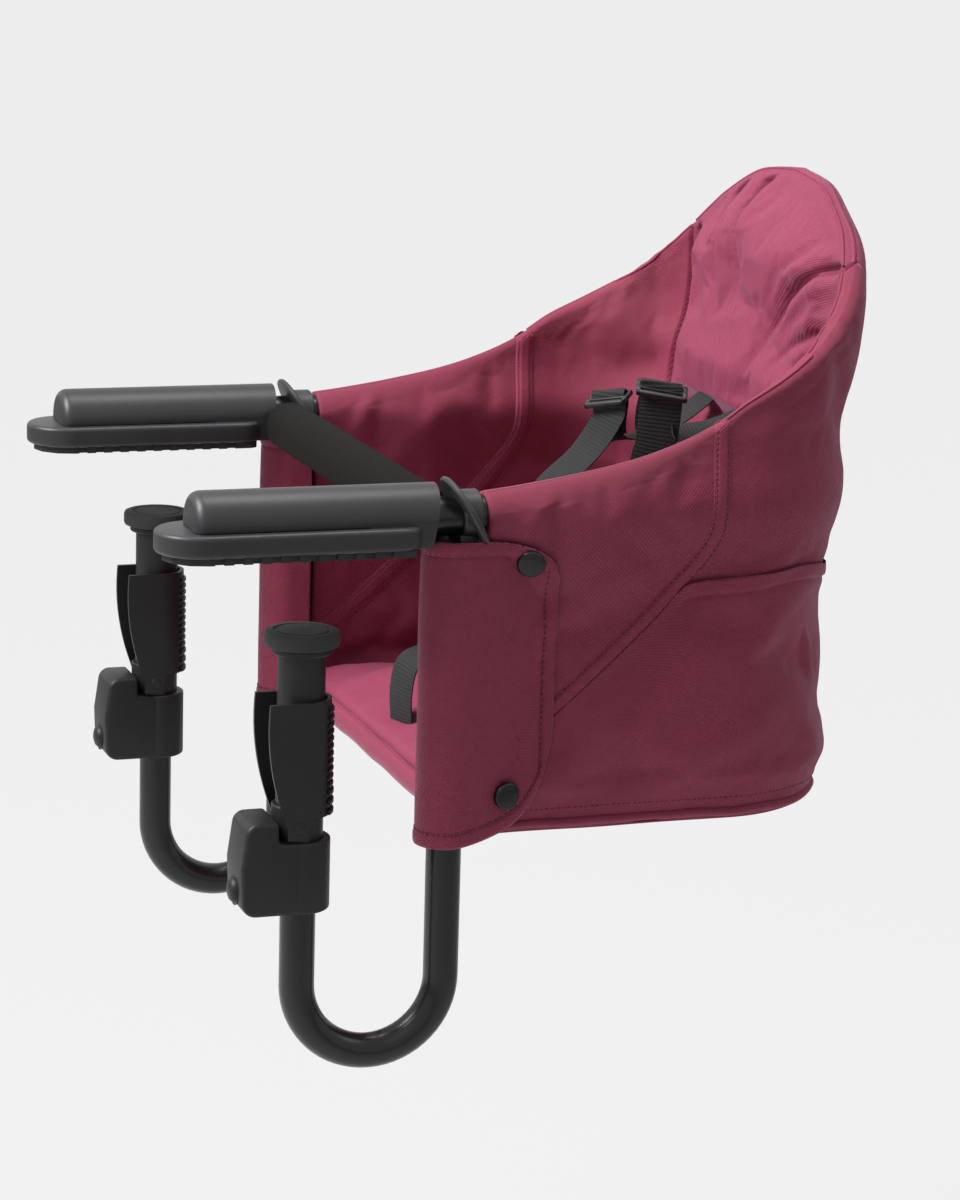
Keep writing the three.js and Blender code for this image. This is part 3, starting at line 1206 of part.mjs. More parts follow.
place("shoulder_strap_left", shoulderStrap(1, STRAP_LEFT), WEBBING);
place("shoulder_strap_right", shoulderStrap(-1, STRAP_RIGHT), WEBBING);
place("strap_adjuster_left", adjuster(1, STRAP_LEFT), MOULDED_PLASTIC);
place("strap_adjuster_right", adjuster(-1, STRAP_RIGHT), MOULDED_PLASTIC);
placePair("waist_strap", waistStrap(), WEBBING);
place("crotch_strap", crotchStrap(), WEBBING);
place("buckle_body", buckleBody(), MOULDED_PLASTIC);
place("buckle_button", buckleButton(), MOULDED_PLASTIC);

export default chair;
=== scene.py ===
"""Hook-on table chair, dressed for its portrait. Pieces are drawn in millimetres and finished in metres."""
import json
import math

import bmesh
import bpy
from mathutils import Matrix, Vector, noise
from mathutils.bvhtree import BVHTree

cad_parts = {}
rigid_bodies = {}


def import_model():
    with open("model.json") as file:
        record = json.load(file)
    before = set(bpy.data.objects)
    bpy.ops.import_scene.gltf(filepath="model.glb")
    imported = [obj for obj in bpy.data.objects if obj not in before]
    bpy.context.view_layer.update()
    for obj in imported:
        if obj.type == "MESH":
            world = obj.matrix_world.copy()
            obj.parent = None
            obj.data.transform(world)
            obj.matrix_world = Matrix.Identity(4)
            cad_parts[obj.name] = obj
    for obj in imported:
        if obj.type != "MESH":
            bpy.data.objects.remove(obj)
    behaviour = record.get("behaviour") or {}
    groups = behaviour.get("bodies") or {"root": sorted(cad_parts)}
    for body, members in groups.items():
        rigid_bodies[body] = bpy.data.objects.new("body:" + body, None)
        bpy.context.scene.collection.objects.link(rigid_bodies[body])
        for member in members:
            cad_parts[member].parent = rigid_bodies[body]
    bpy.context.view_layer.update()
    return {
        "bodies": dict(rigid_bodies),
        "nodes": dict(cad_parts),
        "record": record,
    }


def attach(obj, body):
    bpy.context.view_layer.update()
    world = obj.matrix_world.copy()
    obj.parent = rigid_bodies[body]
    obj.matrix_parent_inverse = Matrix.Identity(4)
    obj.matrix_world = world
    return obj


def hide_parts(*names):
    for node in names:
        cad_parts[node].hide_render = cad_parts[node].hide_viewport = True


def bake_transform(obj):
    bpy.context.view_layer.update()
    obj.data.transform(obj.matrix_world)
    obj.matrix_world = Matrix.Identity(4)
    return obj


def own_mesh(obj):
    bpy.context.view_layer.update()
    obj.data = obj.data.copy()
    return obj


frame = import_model()

MM = 0.001
X, Y, Z = Vector((1, 0, 0)), Vector((0, 1, 0)), Vector((0, 0, 1))
ORIGIN = (0, 0, 0)
FULL_TURN = 2 * math.pi
SIDES = (("left", 1), ("right", -1))

# Places shared with the solids
ARM_X, ARM_Z, ARM_RADIUS = 168, 18, 11
ARM_FRONT, ARM_REAR = -126, 165
LEG_Y, CLAMP_Y = 12.5, -72
LOWER_RADIUS, LOWER_BOTTOM = 10, -298
CUFF_Y, SEAT_LOW = 30, -166
WALL_X, CORNER = 171.5, 80
CORNER_X, CORNER_Y = WALL_X - CORNER, 187
REAR_Y = CORNER_Y + CORNER
HEM_Z = 34
BACK_HALF, BACK_LOW = 117.5, 33
STRIP = [(170.3, 65.6), (169.6, 54), (168.6, 40), (167, 20), (166, 4), (160, -10), (149, -24), (125, -49),
         (75, -92.5), (30, -131)]
AT_ARM, AT_CLAMP = (ARM_X, 0, 0), (ARM_X, CLAMP_Y, 0)


# Materials

class Value:
    """A socket of a recipe: arithmetic on it adds Math nodes."""

    def __init__(self, recipe, socket):
        self.recipe, self.socket = recipe, socket

    def math(self, operation, *values):
        return self.recipe.node("Math", dict(enumerate(values)), operation=operation)

    def __add__(self, other):
        return self.math("ADD", self, other)

    def __sub__(self, other):
        return self.math("SUBTRACT", self, other)

    def __mul__(self, other):
        return self.math("MULTIPLY", self, other)

    def sine(self):
        return self.math("SINE", self)

    __radd__ = __add__


class Recipe:
    """The nodes of one material, or of the world."""

    def __init__(self, holder):
        holder.use_nodes = True
        self.tree = holder.node_tree

    def node(self, kind, inputs=None, output=0, **settings):
        """Adds a node with its settings, then fills its sockets with values or links."""
        node = self.tree.nodes.new("ShaderNode" + kind)
        for name, value in settings.items():
            setattr(node, name, value)
        for name, value in (inputs or {}).items():
            self.fill(node.inputs[name], value)
        return Value(self, node.outputs[output])

    def fill(self, entry, value):
        if isinstance(value, Value):
            self.tree.links.new(value.socket, entry)
        else:
            entry.default_value = value


class Finish(Recipe):
    """A procedural material on one Principled shader."""

    def __init__(self, name, **constants):
        self.material = bpy.data.materials.new(name)
        super().__init__(self.material)
        self.shader = self.tree.nodes["Principled BSDF"]
        for socket, value in constants.items():
            self.shader.inputs[socket.replace("_", " ")].default_value = value

    def place(self):
        return self.node("TexCoord", output="Object")

    def grain(self, scale, detail, vector=None):
        return self.node("TexNoise", {"Vector": vector or self.place(), "Scale": scale, "Detail": detail})

    def cloth_map(self):
        """The two coordinates of the piece's own map, in metres of cloth."""
        spread = self.node("UVMap", uv_map="cloth")
        return [self.node("SeparateXYZ", {0: spread}, axis) for axis in ("X", "Y")]

    def surface(self, tone, low, high, roughness, height=None, depth=0.0, strength=0.5):
        """Feeds the shader a colour between two, a roughness, and relief of a depth in metres."""
        feeds = {"Base Color": self.node("Mix", {"Factor": tone, 6: (*low, 1), 7: (*high, 1)}, 2, data_type="RGBA"),
                 "Roughness": roughness}
        if height:
            feeds["Normal"] = self.node("Bump", {"Height": height, "Distance": depth, "Strength": strength})
        for socket, value in feeds.items():
            self.fill(self.shader.inputs[socket], value)
        return self.material


def twill(name, low, high, pitch=0.0020):
    """Woven cloth: a fine weave on the piece's own map, mottled, with soft creases."""
    finish = Finish(name, Sheen_Weight=0.24, Sheen_Roughness=0.35, Sheen_Tint=(0.90, 0.66, 0.86, 1),
                    Specular_IOR_Level=0.30)
    warp, weft = [(way * (FULL_TURN / pitch)).sine() for way in finish.cloth_map()]
    weave = warp * weft
    slub, mottle, creases = finish.grain(420, 2), finish.grain(16, 4), finish.grain(38, 3)
    tone = weave * 0.30 + (slub - 0.5) * 0.55 + (mottle - 0.5) * 0.35 + 0.5
    height = weave * 0.22 + slub * 0.12 + creases * 1.8
    return finish.surface(tone, low, high, 0.68 + (mottle - 0.5) * 0.18, height, 0.0011, 0.55)


def moulded(name, low, high, roughness, shine):
    """Moulded plastic with a fine spark-eroded grain."""
    finish = Finish(name, Specular_IOR_Level=shine)
    spark, cloud = finish.grain(1400, 2), finish.grain(22, 3)
    rough = roughness + (spark - 0.5) * 0.16 + (cloud - 0.5) * 0.10
    return finish.surface((cloud - 0.5) * 0.8 + 0.5, low, high, rough, spark, 0.00012)


def painted(name, low, high):
    """Stoved gloss paint on steel tube, with a slight orange peel."""
    finish = Finish(name, Specular_IOR_Level=0.3, Coat_Weight=0.12, Coat_Roughness=0.14)
    peel, cloud = finish.grain(240, 2), finish.grain(18, 3)
    return finish.surface(cloud, low, high, 0.30 + (cloud - 0.5) * 0.14, peel, 0.00010)


def spongy(name, low, high):
    """Closed-cell foam: matt, with fine pores."""
    finish = Finish(name, Specular_IOR_Level=0.08)
    pores = finish.node("TexVoronoi", {"Vector": finish.place(), "Scale": 620}, "Distance")
    cloud = finish.grain(26, 4)
    tone = pores * 0.8 + (cloud - 0.5) * 0.6
    return finish.surface(tone, low, high, 0.86 + (cloud - 0.5) * 0.12, pores + cloud * 0.6, 0.0006, 0.6)


def rubbery(name, low, high):
    """A dusty, matt surface: rubber, thread or board."""
    finish = Finish(name, IOR=1.5)
    dust, fine = finish.grain(60, 4), finish.grain(900, 2)
    return finish.surface(dust, low, high, 0.74 + (dust - 0.5) * 0.2, fine, 0.00015)


def ribbed_webbing(name, low, high, pick=0.0024, warp=0.0018):
    """Narrow woven webbing: rows of short floats across its length."""
    finish = Finish(name, Sheen_Weight=0.05, Sheen_Roughness=0.5, Specular_IOR_Level=0.3)
    across, along = finish.cloth_map()
    picks, floats = (along * (FULL_TURN / pick)).sine(), (across * (FULL_TURN / warp)).sine()
    fuzz = finish.grain(700, 2)
    height = picks * 0.5 + floats * picks * 0.5 + fuzz * 0.5
    return finish.surface(height * 0.4 + 0.3, low, high, 0.72 + (fuzz - 0.5) * 0.2, height, 0.00035, 0.8)


def bright_steel(name, low, high):
    """Bright wire, with drawing lines along it."""
    finish = Finish(name, Metallic=1.0)
    lines = finish.node("Mapping", {"Vector": finish.place(), "Scale": (40, 900, 900)})
    scratch = finish.grain(1.0, 3, lines)
    return finish.surface(scratch, low, high, 0.26 + scratch * 0.16)


FINISHES = {
    "cloth": twill("burgundy_twill", (0.176, 0.0215, 0.044), (0.285, 0.0365, 0.079)),
    # The lining is the cloth's own twill painted lighter and pinker: painted light for the lit back and cushion
    "lining": twill("burgundy_twill_painted_lit", (0.184, 0.024, 0.054), (0.298, 0.042, 0.096)),
    "thread": rubbery("burgundy_thread", (0.085, 0.011, 0.024), (0.140, 0.018, 0.040)),
    "moulding": moulded("charcoal_moulding", (0.017, 0.017, 0.0185), (0.029, 0.029, 0.032), 0.42, 0.4),
    "clamp": moulded("near_black_moulding", (0.008, 0.008, 0.009), (0.014, 0.014, 0.015), 0.46, 0.3),
    "tube": painted("black_stove_paint", (0.0055, 0.0055, 0.006), (0.009, 0.009, 0.0095)),
    "foam": spongy("black_foam", (0.005, 0.0044, 0.004), (0.011, 0.0095, 0.009)),
    "tread": rubbery("black_rubber", (0.009, 0.009, 0.009), (0.018, 0.018, 0.018)),
    "webbing": ribbed_webbing("black_webbing", (0.004, 0.0044, 0.005), (0.019, 0.020, 0.022)),
    "steel": bright_steel("bright_steel", (0.36, 0.36, 0.37), (0.55, 0.55, 0.56)),
    "stud": moulded("black_stud", (0.004, 0.004, 0.004), (0.008, 0.008, 0.008), 0.30, 0.3),
    "stiffener": rubbery("fibre_board", (0.40, 0.37, 0.32), (0.52, 0.49, 0.43)),
}
# Edges sharper than these angles stay sharp; sewn pieces and wire are smooth all over
SHARP_ANGLE = {"moulding": 40, "tube": 40, "foam": 40, "stud": 40, "clamp": 32, "tread": 32, "webbing": 50}


# Making and finishing pieces

def placed(name, data):
    """A new object in the scene."""
    item = bpy.data.objects.new(name, data)
    bpy.context.scene.collection.objects.link(item)
    return item


def mesh_of(bm, name):
    """A drawn shell as a mesh; the shell is let go."""
    mesh = bpy.data.meshes.new(name)
    bm.to_mesh(mesh)
    bm.free()
    return mesh


def finished(bm, name, body, finish, nodes=(), mirrored=False, sharp=None):
    """Ends a mesh drawn in millimetres: it rides on a body and stands for its CAD nodes."""
    if mirrored:
        bmesh.ops.scale(bm, vec=(-1, 1, 1), verts=bm.verts)
        bmesh.ops.reverse_faces(bm, faces=bm.faces)
    bmesh.ops.scale(bm, vec=(MM, MM, MM), verts=bm.verts)
    mesh = mesh_of(bm, name)
    mesh.materials.append(FINISHES[finish])
    mesh.shade_smooth()
    angle = sharp or SHARP_ANGLE.get(finish)
    if angle:
        mesh.set_sharp_from_angle(angle=math.radians(angle))
    piece = placed(name, mesh)
    if body:
        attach(piece, body)
    if nodes:
        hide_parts(*nodes)
    return piece


def both_sides(draw, base, body, finish, node, sharp=None):
    """Draws a left-hand piece, and its mirror image on the right."""
    made = []
    for label, side in SIDES:
        ridden = body if body in frame["bodies"] else f"{body}_{label}"
        made.append(finished(draw(), f"{base}_{label}", ridden, finish, [f"{node}_{label}"], side < 0, sharp))
    return made


def outward(bm):
    """Turns a shell's faces outward."""
    bmesh.ops.recalc_face_normals(bm, faces=bm.faces)
    return bm


def moved(bm, shift):
    bmesh.ops.translate(bm, vec=shift, verts=bm.verts)
    return bm


def thickened(sheet, thickness):
    """A sheet made into a shell; a positive thickness goes inward."""
    bmesh.ops.solidify(sheet, geom=sheet.faces[:], thickness=thickness)
    return outward(sheet)


def of_kind(geometry, kind):
    return [item for item in geometry if isinstance(item, kind)]


def spread(first, last, count):
    """Values an even step apart, with both ends."""
    return [first + (last - first) * step / count for step in range(count + 1)]


def turned(profile, axis=Z, centre=ORIGIN, steps=48, start=None):
    """A profile of (radius, distance along the axis) spun once round the axis."""
    bm = bmesh.new()
    out = start or axis.orthogonal().normalized()
    points = [bm.verts.new(Vector(centre) + axis * along + out * radius) for radius, along in profile]
    for a, b in zip(points, points[1:]):
        bm.edges.new((a, b))
    bmesh.ops.spin(bm, geom=bm.verts[:] + bm.edges[:], cent=centre, axis=axis, dvec=ORIGIN, angle=FULL_TURN,
                   steps=steps, use_merge=True, use_duplicate=False)
    bmesh.ops.remove_doubles(bm, verts=bm.verts, dist=0.001)
    return outward(bm)


def rounded_end(radius, along, edge, towards, steps=4):
    """Profile points that round a turned piece's edge."""
    return [(radius - edge * (1 - math.sin(angle)), along + towards * edge * (1 - math.cos(angle)))
            for angle in spread(0, math.pi / 2, steps)]


def rod_profile(radius, low, high, edge):
    return [(0, low), *rounded_end(radius, low, edge, 1), *reversed(rounded_end(radius, high, edge, -1)), (0, high)]


def oblong(a, b, c, d):
    """The corners of a rectangle from (a, b) to (c, d)."""
    return [(a, b), (c, b), (c, d), (a, d)]


def block(corners, low, high, axis, edge, segments=3, rounds=None):
    """A flat outline in two axes, its corners rounded, drawn out along the third and softened at its edges."""
    def spot(a, b, c):
        flat = [a, b]
        flat.insert("xyz".index(axis), c)
        return flat

    bm = bmesh.new()
    points = [bm.verts.new(spot(a, b, low)) for a, b in corners]
    bm.faces.new(points)
    for index, radius in (rounds or {}).items():
        bmesh.ops.bevel(bm, geom=[points[index]], offset=radius, segments=10, profile=0.5,
                        affect="VERTICES", offset_type="OFFSET", material=-1)
        bm.verts.ensure_lookup_table()
    drawn = bmesh.ops.extrude_face_region(bm, geom=bm.faces[:])["geom"]
    bmesh.ops.translate(bm, vec=spot(0, 0, high - low), verts=of_kind(drawn, bmesh.types.BMVert))
    outward(bm)
    rims = [e for e in bm.edges if len(e.link_faces) == 2 and e.calc_face_angle(0) > math.radians(30)]
    bmesh.ops.bevel(bm, geom=rims, offset=edge, segments=segments, profile=0.5, affect="EDGES",
                    offset_type="OFFSET", material=-1, clamp_overlap=True)
    return bm


def joined(*shells):
    """Several drawn shells as one."""
    whole = shells[0]
    for shell in shells[1:]:
        mesh = mesh_of(shell, "shell")
        whole.from_mesh(mesh)
        bpy.data.meshes.remove(mesh)
    return whole


def trimmed(bm, point, normal, capped=True):
    """Cuts away what lies beyond a plane, on the side its normal points to."""
    cut = bmesh.ops.bisect_plane(bm, geom=bm.verts[:] + bm.edges[:] + bm.faces[:], dist=0.0001, plane_co=point,
                                 plane_no=normal, clear_outer=True)
    if capped:
        bmesh.ops.holes_fill(bm, edges=of_kind(cut["geom_cut"], bmesh.types.BMEdge), sides=0)
    return bm


def tube(points, radius, sides=20):
    """A round tube through points, with flat ends."""
    curve = bpy.data.curves.new("tube", "CURVE")
    curve.dimensions = "3D"
    spline = curve.splines.new("POLY")
    spline.points.add(len(points) - 1)
    for station, point in zip(spline.points, points):
        station.co = (*point, 1)
    curve.bevel_depth = radius
    curve.bevel_resolution = max(sides // 4 - 1, 1)
    curve.use_fill_caps = True
    carrier = placed("tube", curve)
    mesh = bpy.data.meshes.new_from_object(carrier.evaluated_get(bpy.context.evaluated_depsgraph_get()))
    bm = bmesh.new()
    bm.from_mesh(mesh)
    bmesh.ops.remove_doubles(bm, verts=bm.verts, dist=0.0001)
    bpy.data.objects.remove(carrier)
    bpy.data.curves.remove(curve)
    bpy.data.meshes.remove(mesh)
    return bm


def curve_at(knots, t):
    """A point on the smooth curve through knots, t knots from the first."""
    last = len(knots) - 1
    i = min(int(t), last - 1)
    t -= i
    b, c = knots[i], knots[i + 1]
    a = knots[i - 1] if i else b * 2 - c
    d = knots[i + 2] if i + 2 <= last else c * 2 - b
    return 0.5 * (2 * b + (c - a) * t + (2 * a - 5 * b + 4 * c - d) * t ** 2 + (3 * b - a - 3 * c + d) * t ** 3)


def even_places(knots, count, fineness=600):
    """Places on a smooth curve that are the same distance apart."""
    fine = spread(0, len(knots) - 1, fineness)
    points = [curve_at(knots, t) for t in fine]
    lengths = [0]
    for a, b in zip(points, points[1:]):
        lengths.append(lengths[-1] + (b - a).length)
    places, at = [], 0
    for target in spread(0, lengths[-1], count - 1):
        while at < fineness - 1 and lengths[at + 1] < target:
            at += 1
        span = lengths[at + 1] - lengths[at]
        places.append(fine[at] + (fine[at + 1] - fine[at]) * ((target - lengths[at]) / span if span else 0))
    return places


def cloth_grid(columns, rows, place, size):
    """A grid whose point at (u, v) goes to place(u, v), with a UV map in metres of cloth."""
    bm = bmesh.new()
    layer = bm.loops.layers.uv.new("cloth")
    bmesh.ops.create_grid(bm, x_segments=columns, y_segments=rows, size=0.5)
    for vertex in bm.verts:
        u, v = vertex.co.x + 0.5, vertex.co.y + 0.5
        for loop in vertex.link_loops:
            loop[layer].uv = (u * size[0] * MM, v * size[1] * MM)
        vertex.co = place(u, v)
    return bm


def closed_pair(outer, inner):
    """Two faces of a piece, joined all round their edges; the turned edges stay firm."""
    bmesh.ops.reverse_faces(inner, faces=inner.faces)
    shell = joined(outer, inner)
    bmesh.ops.bridge_loops(shell, edges=[e for e in shell.edges if e.is_boundary])
    outward(shell)
    crease = shell.edges.layers.float.new("crease_edge")
    for edge in shell.edges:
        if edge.calc_face_angle(0) > math.radians(55):
            edge[crease] = 1
    return shell


def ramp(value, start, span):
    """Rises smoothly from 0 at start to 1 a span further on; a negative span looks back from start."""
    t = min(max((value - start) / span, 0), 1)
    return t * t * (3 - 2 * t)


def bump(value, middle, width):
    """A bell, 1 high at its middle."""
    return math.exp(-((value - middle) / width) ** 2)


def ripple(point, scale, amount, seed):
    """Smooth noise, up to an amount either way."""
    return amount * noise.noise(Vector(point) / scale + Vector((seed, seed * 1.7, seed * 0.6)))


# Frame tubes, crossbar and grips

GRIP_FRONT, GRIP_REAR, GRIP_RADIUS, GRIP_LOW = -136, 3, 19, 17
LEDGE_FRONT, LEDGE_REAR, LEDGE_HALF, LEDGE_LOW, LEDGE_HIGH = -155, -8, 25, 4, 16.5


def arm_tube():
    return tube([(ARM_X, ARM_FRONT, ARM_Z), (ARM_X, ARM_REAR, ARM_Z)], ARM_RADIUS, 32)


def crossbar_foam():
    return turned(rod_profile(15, -142, 142, 2.2), X, (0, 6, 14.5))


def grip_dome():
    """A half-round cap and the heel under it, cut off on a slant behind."""
    profile = [(0, GRIP_FRONT), *rounded_end(GRIP_RADIUS, GRIP_FRONT, 6, 1, 6), (GRIP_RADIUS, GRIP_REAR),
               (0, GRIP_REAR)]
    dome = trimmed(turned(profile, Y, (0, 0, ARM_Z), 64, X), (0, 0, GRIP_LOW), -Z)
    heel = block([(-GRIP_RADIUS, LEDGE_LOW), (GRIP_RADIUS, LEDGE_LOW), (GRIP_RADIUS, ARM_Z), (12, 30), (-12, 30),
                  (-GRIP_RADIUS, ARM_Z)], -40, GRIP_REAR, "y", 0.8)
    return moved(trimmed(joined(dome, heel), (0, 2, 37), Vector((0, 33, -6)).normalized()), AT_ARM)


def grip_ledge():
    outline = oblong(-LEDGE_HALF, LEDGE_FRONT, LEDGE_HALF, LEDGE_REAR)
    return moved(block(outline, LEDGE_LOW, LEDGE_HIGH, "z", 4.2, 5, {0: 24.9, 1: 24.9, 2: 14, 3: 14}), AT_ARM)


both_sides(arm_tube, "arm_tube_painted", "frame", "tube", "arm_tube")
finished(crossbar_foam(), "crossbar_sleeve", "frame", "foam", ["crossbar_foam"])
both_sides(grip_dome, "grip_cap", "frame", "moulding", "grip_dome", 30)
both_sides(grip_ledge, "grip_shelf", "frame", "moulding", "grip_ledge", 30)


# Leg brackets and lower arms

def leg_bracket():
    """A socket for the leg and a ring round the arm, with a slanting lip."""
    socket = turned(rod_profile(13.5, -45, 4.2, 1.2), Z, (ARM_X, LEG_Y, 0))
    ring = turned([(11.2, 16), (13.6, 16), (14.5, 17), (14.5, 26), (13.6, 27), (11.2, 27), (11.2, 16)], Y,
                  (ARM_X, 0, ARM_Z))
    saddle = block(oblong(14, -8, 25, 9), ARM_X - 11, ARM_X + 11, "x", 1)
    tilt = math.radians(29.5)
    lip = turned([(11.4, -1.6), (23.6, -1.6), (24.5, -0.7), (24.5, 0.7), (23.6, 1.6), (11.4, 1.6), (11.4, -1.6)],
                 Vector((0, math.cos(tilt), math.sin(tilt))), (ARM_X, 20.2, ARM_Z), 64)
    return joined(socket, ring, saddle, trimmed(lip, (0, 0, 6.5), -Z))


def lower_arm():
    """The tube that drops from the leg socket, bends round and rises into the clamp."""
    bend, low = (LEG_Y - CLAMP_Y) / 2, LOWER_BOTTOM + LOWER_RADIUS
    turn = [(ARM_X, (LEG_Y + CLAMP_Y) / 2 + bend * math.cos(angle), low + bend - bend * math.sin(angle))
            for angle in spread(0, math.pi, 32)]
    leg, rise = [(ARM_X, LEG_Y, 0.6), (ARM_X, LEG_Y, -120)], [(ARM_X, CLAMP_Y, -160), (ARM_X, CLAMP_Y, -86)]
    return tube(leg + turn + rise, LOWER_RADIUS, 32)


both_sides(leg_bracket, "leg_bracket_moulding", "frame", "moulding", "leg_bracket", 35)
both_sides(lower_arm, "lower_arm_painted", "lower_arm", "tube", "lower_arm_tube")


# Clamps, drawn round the upright end of the lower arm

HOUSING_LOW, HOUSING_HIGH = -200, -159
BUTTON_AT = (0, 0, -187.7)
LEVER_RADIUS, LEVER_WALL, LEVER_LOW, LEVER_HIGH, LEVER_BACK_LOW = 17.1, 2.4, -157, -80, -145.5
SPRING_FRONT, SPRING_REAR, SPRING_Z, SPRING_RADIUS, SPRING_WIRE = -32.35, -27.05, -161, 2.35, 0.45


def clamp_housing():
    """A barrel on the tube, a box for the button in front, and a neck with the lever's pins."""
    side = [(-16, HOUSING_LOW), (-36, HOUSING_LOW), (-37, -172), (-33.4, -146.5), (-15.4, -146.5), (-15.4, -158.6),
            (0, -158.6), (0, HOUSING_LOW)]
    box = block(side, -17, 17, "x", 2.4, 3, {1: 8, 3: 6})
    barrel = turned([(10.3, HOUSING_LOW), (16, HOUSING_LOW), *rounded_end(17.5, HOUSING_LOW, 1.5, 1)[1:],
                     *reversed(rounded_end(17.5, HOUSING_HIGH, 1.2, -1)), (13.5, HOUSING_HIGH), (13.5, -194),
                     (10.3, -194), (10.3, HOUSING_LOW)])
    neck = turned([(13.6, -160), (15.6, -160), (15.6, -140.6), (15, -140), (13.6, -140), (13.6, -160)])
    pins = turned(rod_profile(3, -17.8, 17.8, 0.5), X, (0, -4, -150), 24)
    collar = turned([(7.5, -36.9), (8.6, -36.9), (8.6, -36.2), (7.5, -36.2), (7.5, -36.9)], Y, BUTTON_AT, 40)
    return moved(joined(box, barrel, trimmed(neck, (0, 2, 0), Y), pins, collar), AT_CLAMP)


def clamp_post():
    return moved(turned([(10.4, -172), (13.0, -172), (13.3, -171.6), (13.3, -55.2), (14, -54.8), (16.4, -54.8),
                         (17, -54.2), (17, -51.8), (16.5, -51.3), (10.4, -51.3), (10.4, -172)]), AT_CLAMP)


def clamp_foot():
    return moved(turned([(0, -63), (9.4, -63), (10, -62.4), (10, -51), (19, -51), (20.4, -50.4), (21, -49),
                         (21, -44.2), (20.4, -42.6), (19, -42), (16, -42), (15.4, -42.7), (14.6, -42.7), (14, -42),
                         (0, -42)]), AT_CLAMP)


def lever_channel(front):
    """A round-backed channel, open to the front."""
    bm = bmesh.new()
    ends = [bm.verts.new((LEVER_RADIUS, 0, z)) for z in (LEVER_LOW, LEVER_HIGH)]
    bmesh.ops.spin(bm, geom=[*ends, bm.edges.new(ends)], cent=ORIGIN, axis=Z, angle=math.pi, steps=24)
    sides = [e for e in bm.edges if e.is_boundary and all(abs(vertex.co.y) < 0.01 for vertex in e.verts)]
    drawn = bmesh.ops.extrude_edge_only(bm, edges=sides)["geom"]
    bmesh.ops.translate(bm, vec=(0, front, 0), verts=of_kind(drawn, bmesh.types.BMVert))
    bmesh.ops.remove_doubles(bm, verts=bm.verts, dist=0.001)
    for height in range(LEVER_LOW + 6, LEVER_HIGH, 6):
        bmesh.ops.bisect_plane(bm, geom=bm.verts[:] + bm.edges[:] + bm.faces[:], plane_co=(0, 0, height), plane_no=Z)
    return outward(bm)


def lever_rib(height, radius, width):
    """A low finger rib on the lever's back."""
    bm = bmesh.new()
    half, root = width / 2, LEVER_RADIUS + 0.5
    lean = Matrix.Rotation(math.radians(48), 3, "Z")
    outline = ((root, -half), (radius - 0.3, -half), (radius, -half + 0.5), (radius, half - 0.5), (radius - 0.3, half),
               (root, half))
    points = [bm.verts.new(lean @ Vector((r, 0, height + z))) for r, z in outline]
    edges = [bm.edges.new(ends) for ends in zip(points, points[1:] + points[:1])]
    bmesh.ops.spin(bm, geom=points + edges, cent=ORIGIN, axis=Z, angle=math.radians(84), steps=16)
    bmesh.ops.holes_fill(bm, edges=[e for e in bm.edges if e.is_boundary], sides=0)
    return outward(bm)


def clamp_lever():
    """A channel with swelling cheeks, cut off on a slant below, and ribs on its back."""
    shell = lever_channel(-20)
    for vertex in shell.verts:
        if vertex.co.y < -10:
            rise = (vertex.co.z + 150) / 70
            vertex.co.y = -11 - 28 * max(rise, 0) * (1 - 0.62 * rise) if rise < 1.01 else -16
    trimmed(shell, (0, -4, LEVER_LOW), Vector((0, 0.25, -1)).normalized(), False)
    for vertex in shell.verts:
        if vertex.co.y > 1 and vertex.co.z < LEVER_BACK_LOW:
            vertex.co.z = LEVER_BACK_LOW
    bmesh.ops.remove_doubles(shell, verts=shell.verts, dist=0.02)
    fine = [lever_rib(-128 + 4.2 * rib, 18.6, 2.2) for rib in range(11)]
    broad = [lever_rib(-143.5 + 5.6 * rib, 18.9, 3) for rib in range(3)]
    return moved(joined(thickened(shell, LEVER_WALL), *fine, *broad), AT_CLAMP)


def release_button():
    """A domed cap, its flange, and a stem with a round tip that rolls on the pawl."""
    profile = [(0, -40.3), (3, -40.2), (5.4, -39.4), (6.8, -38), (7.2, -36.4), (7.2, -32.8), (8.6, -32.8), (8.6, -31.2),
               (3, -31.2), (3, -29.6), (2.77, -28.45), (2.13, -27.47), (1.15, -26.83), (0, -26.6)]
    return moved(turned(profile, Y, BUTTON_AT, 40), AT_CLAMP)


def pawl_spring():
    """The coil between the housing's front wall and the pawl."""
    points = []
    for share in spread(0, 1, 84):
        angle, y = 3.5 * FULL_TURN * share, SPRING_FRONT + (SPRING_REAR - SPRING_FRONT) * share
        points.append((SPRING_RADIUS * math.cos(angle), y, SPRING_Z + SPRING_RADIUS * math.sin(angle)))
    return moved(tube(points, SPRING_WIRE, 8), AT_CLAMP)


both_sides(clamp_housing, "clamp_housing_moulding", "lower_arm", "clamp", "clamp_housing")
both_sides(clamp_post, "clamp_post_moulding", "clamp_post", "clamp", "clamp_post")
both_sides(clamp_foot, "clamp_foot_rubber", "clamp_post", "tread", "clamp_foot")
both_sides(clamp_lever, "clamp_lever_moulding", "clamp_lever", "clamp", "clamp_lever")
both_sides(release_button, "release_button_cap", "release_button", "clamp", "release_button")
springs = both_sides(pawl_spring, "pawl_spring_coil", "lower_arm", "steel", "pawl_spring")
for spring, (label, _) in zip(springs, SIDES):
    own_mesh(spring)


# Seat wall: one padded wall round the sides and rear, with the arms and the bow inside it.
# A place on it is a run, the distance round it from the left cuff, and a height.

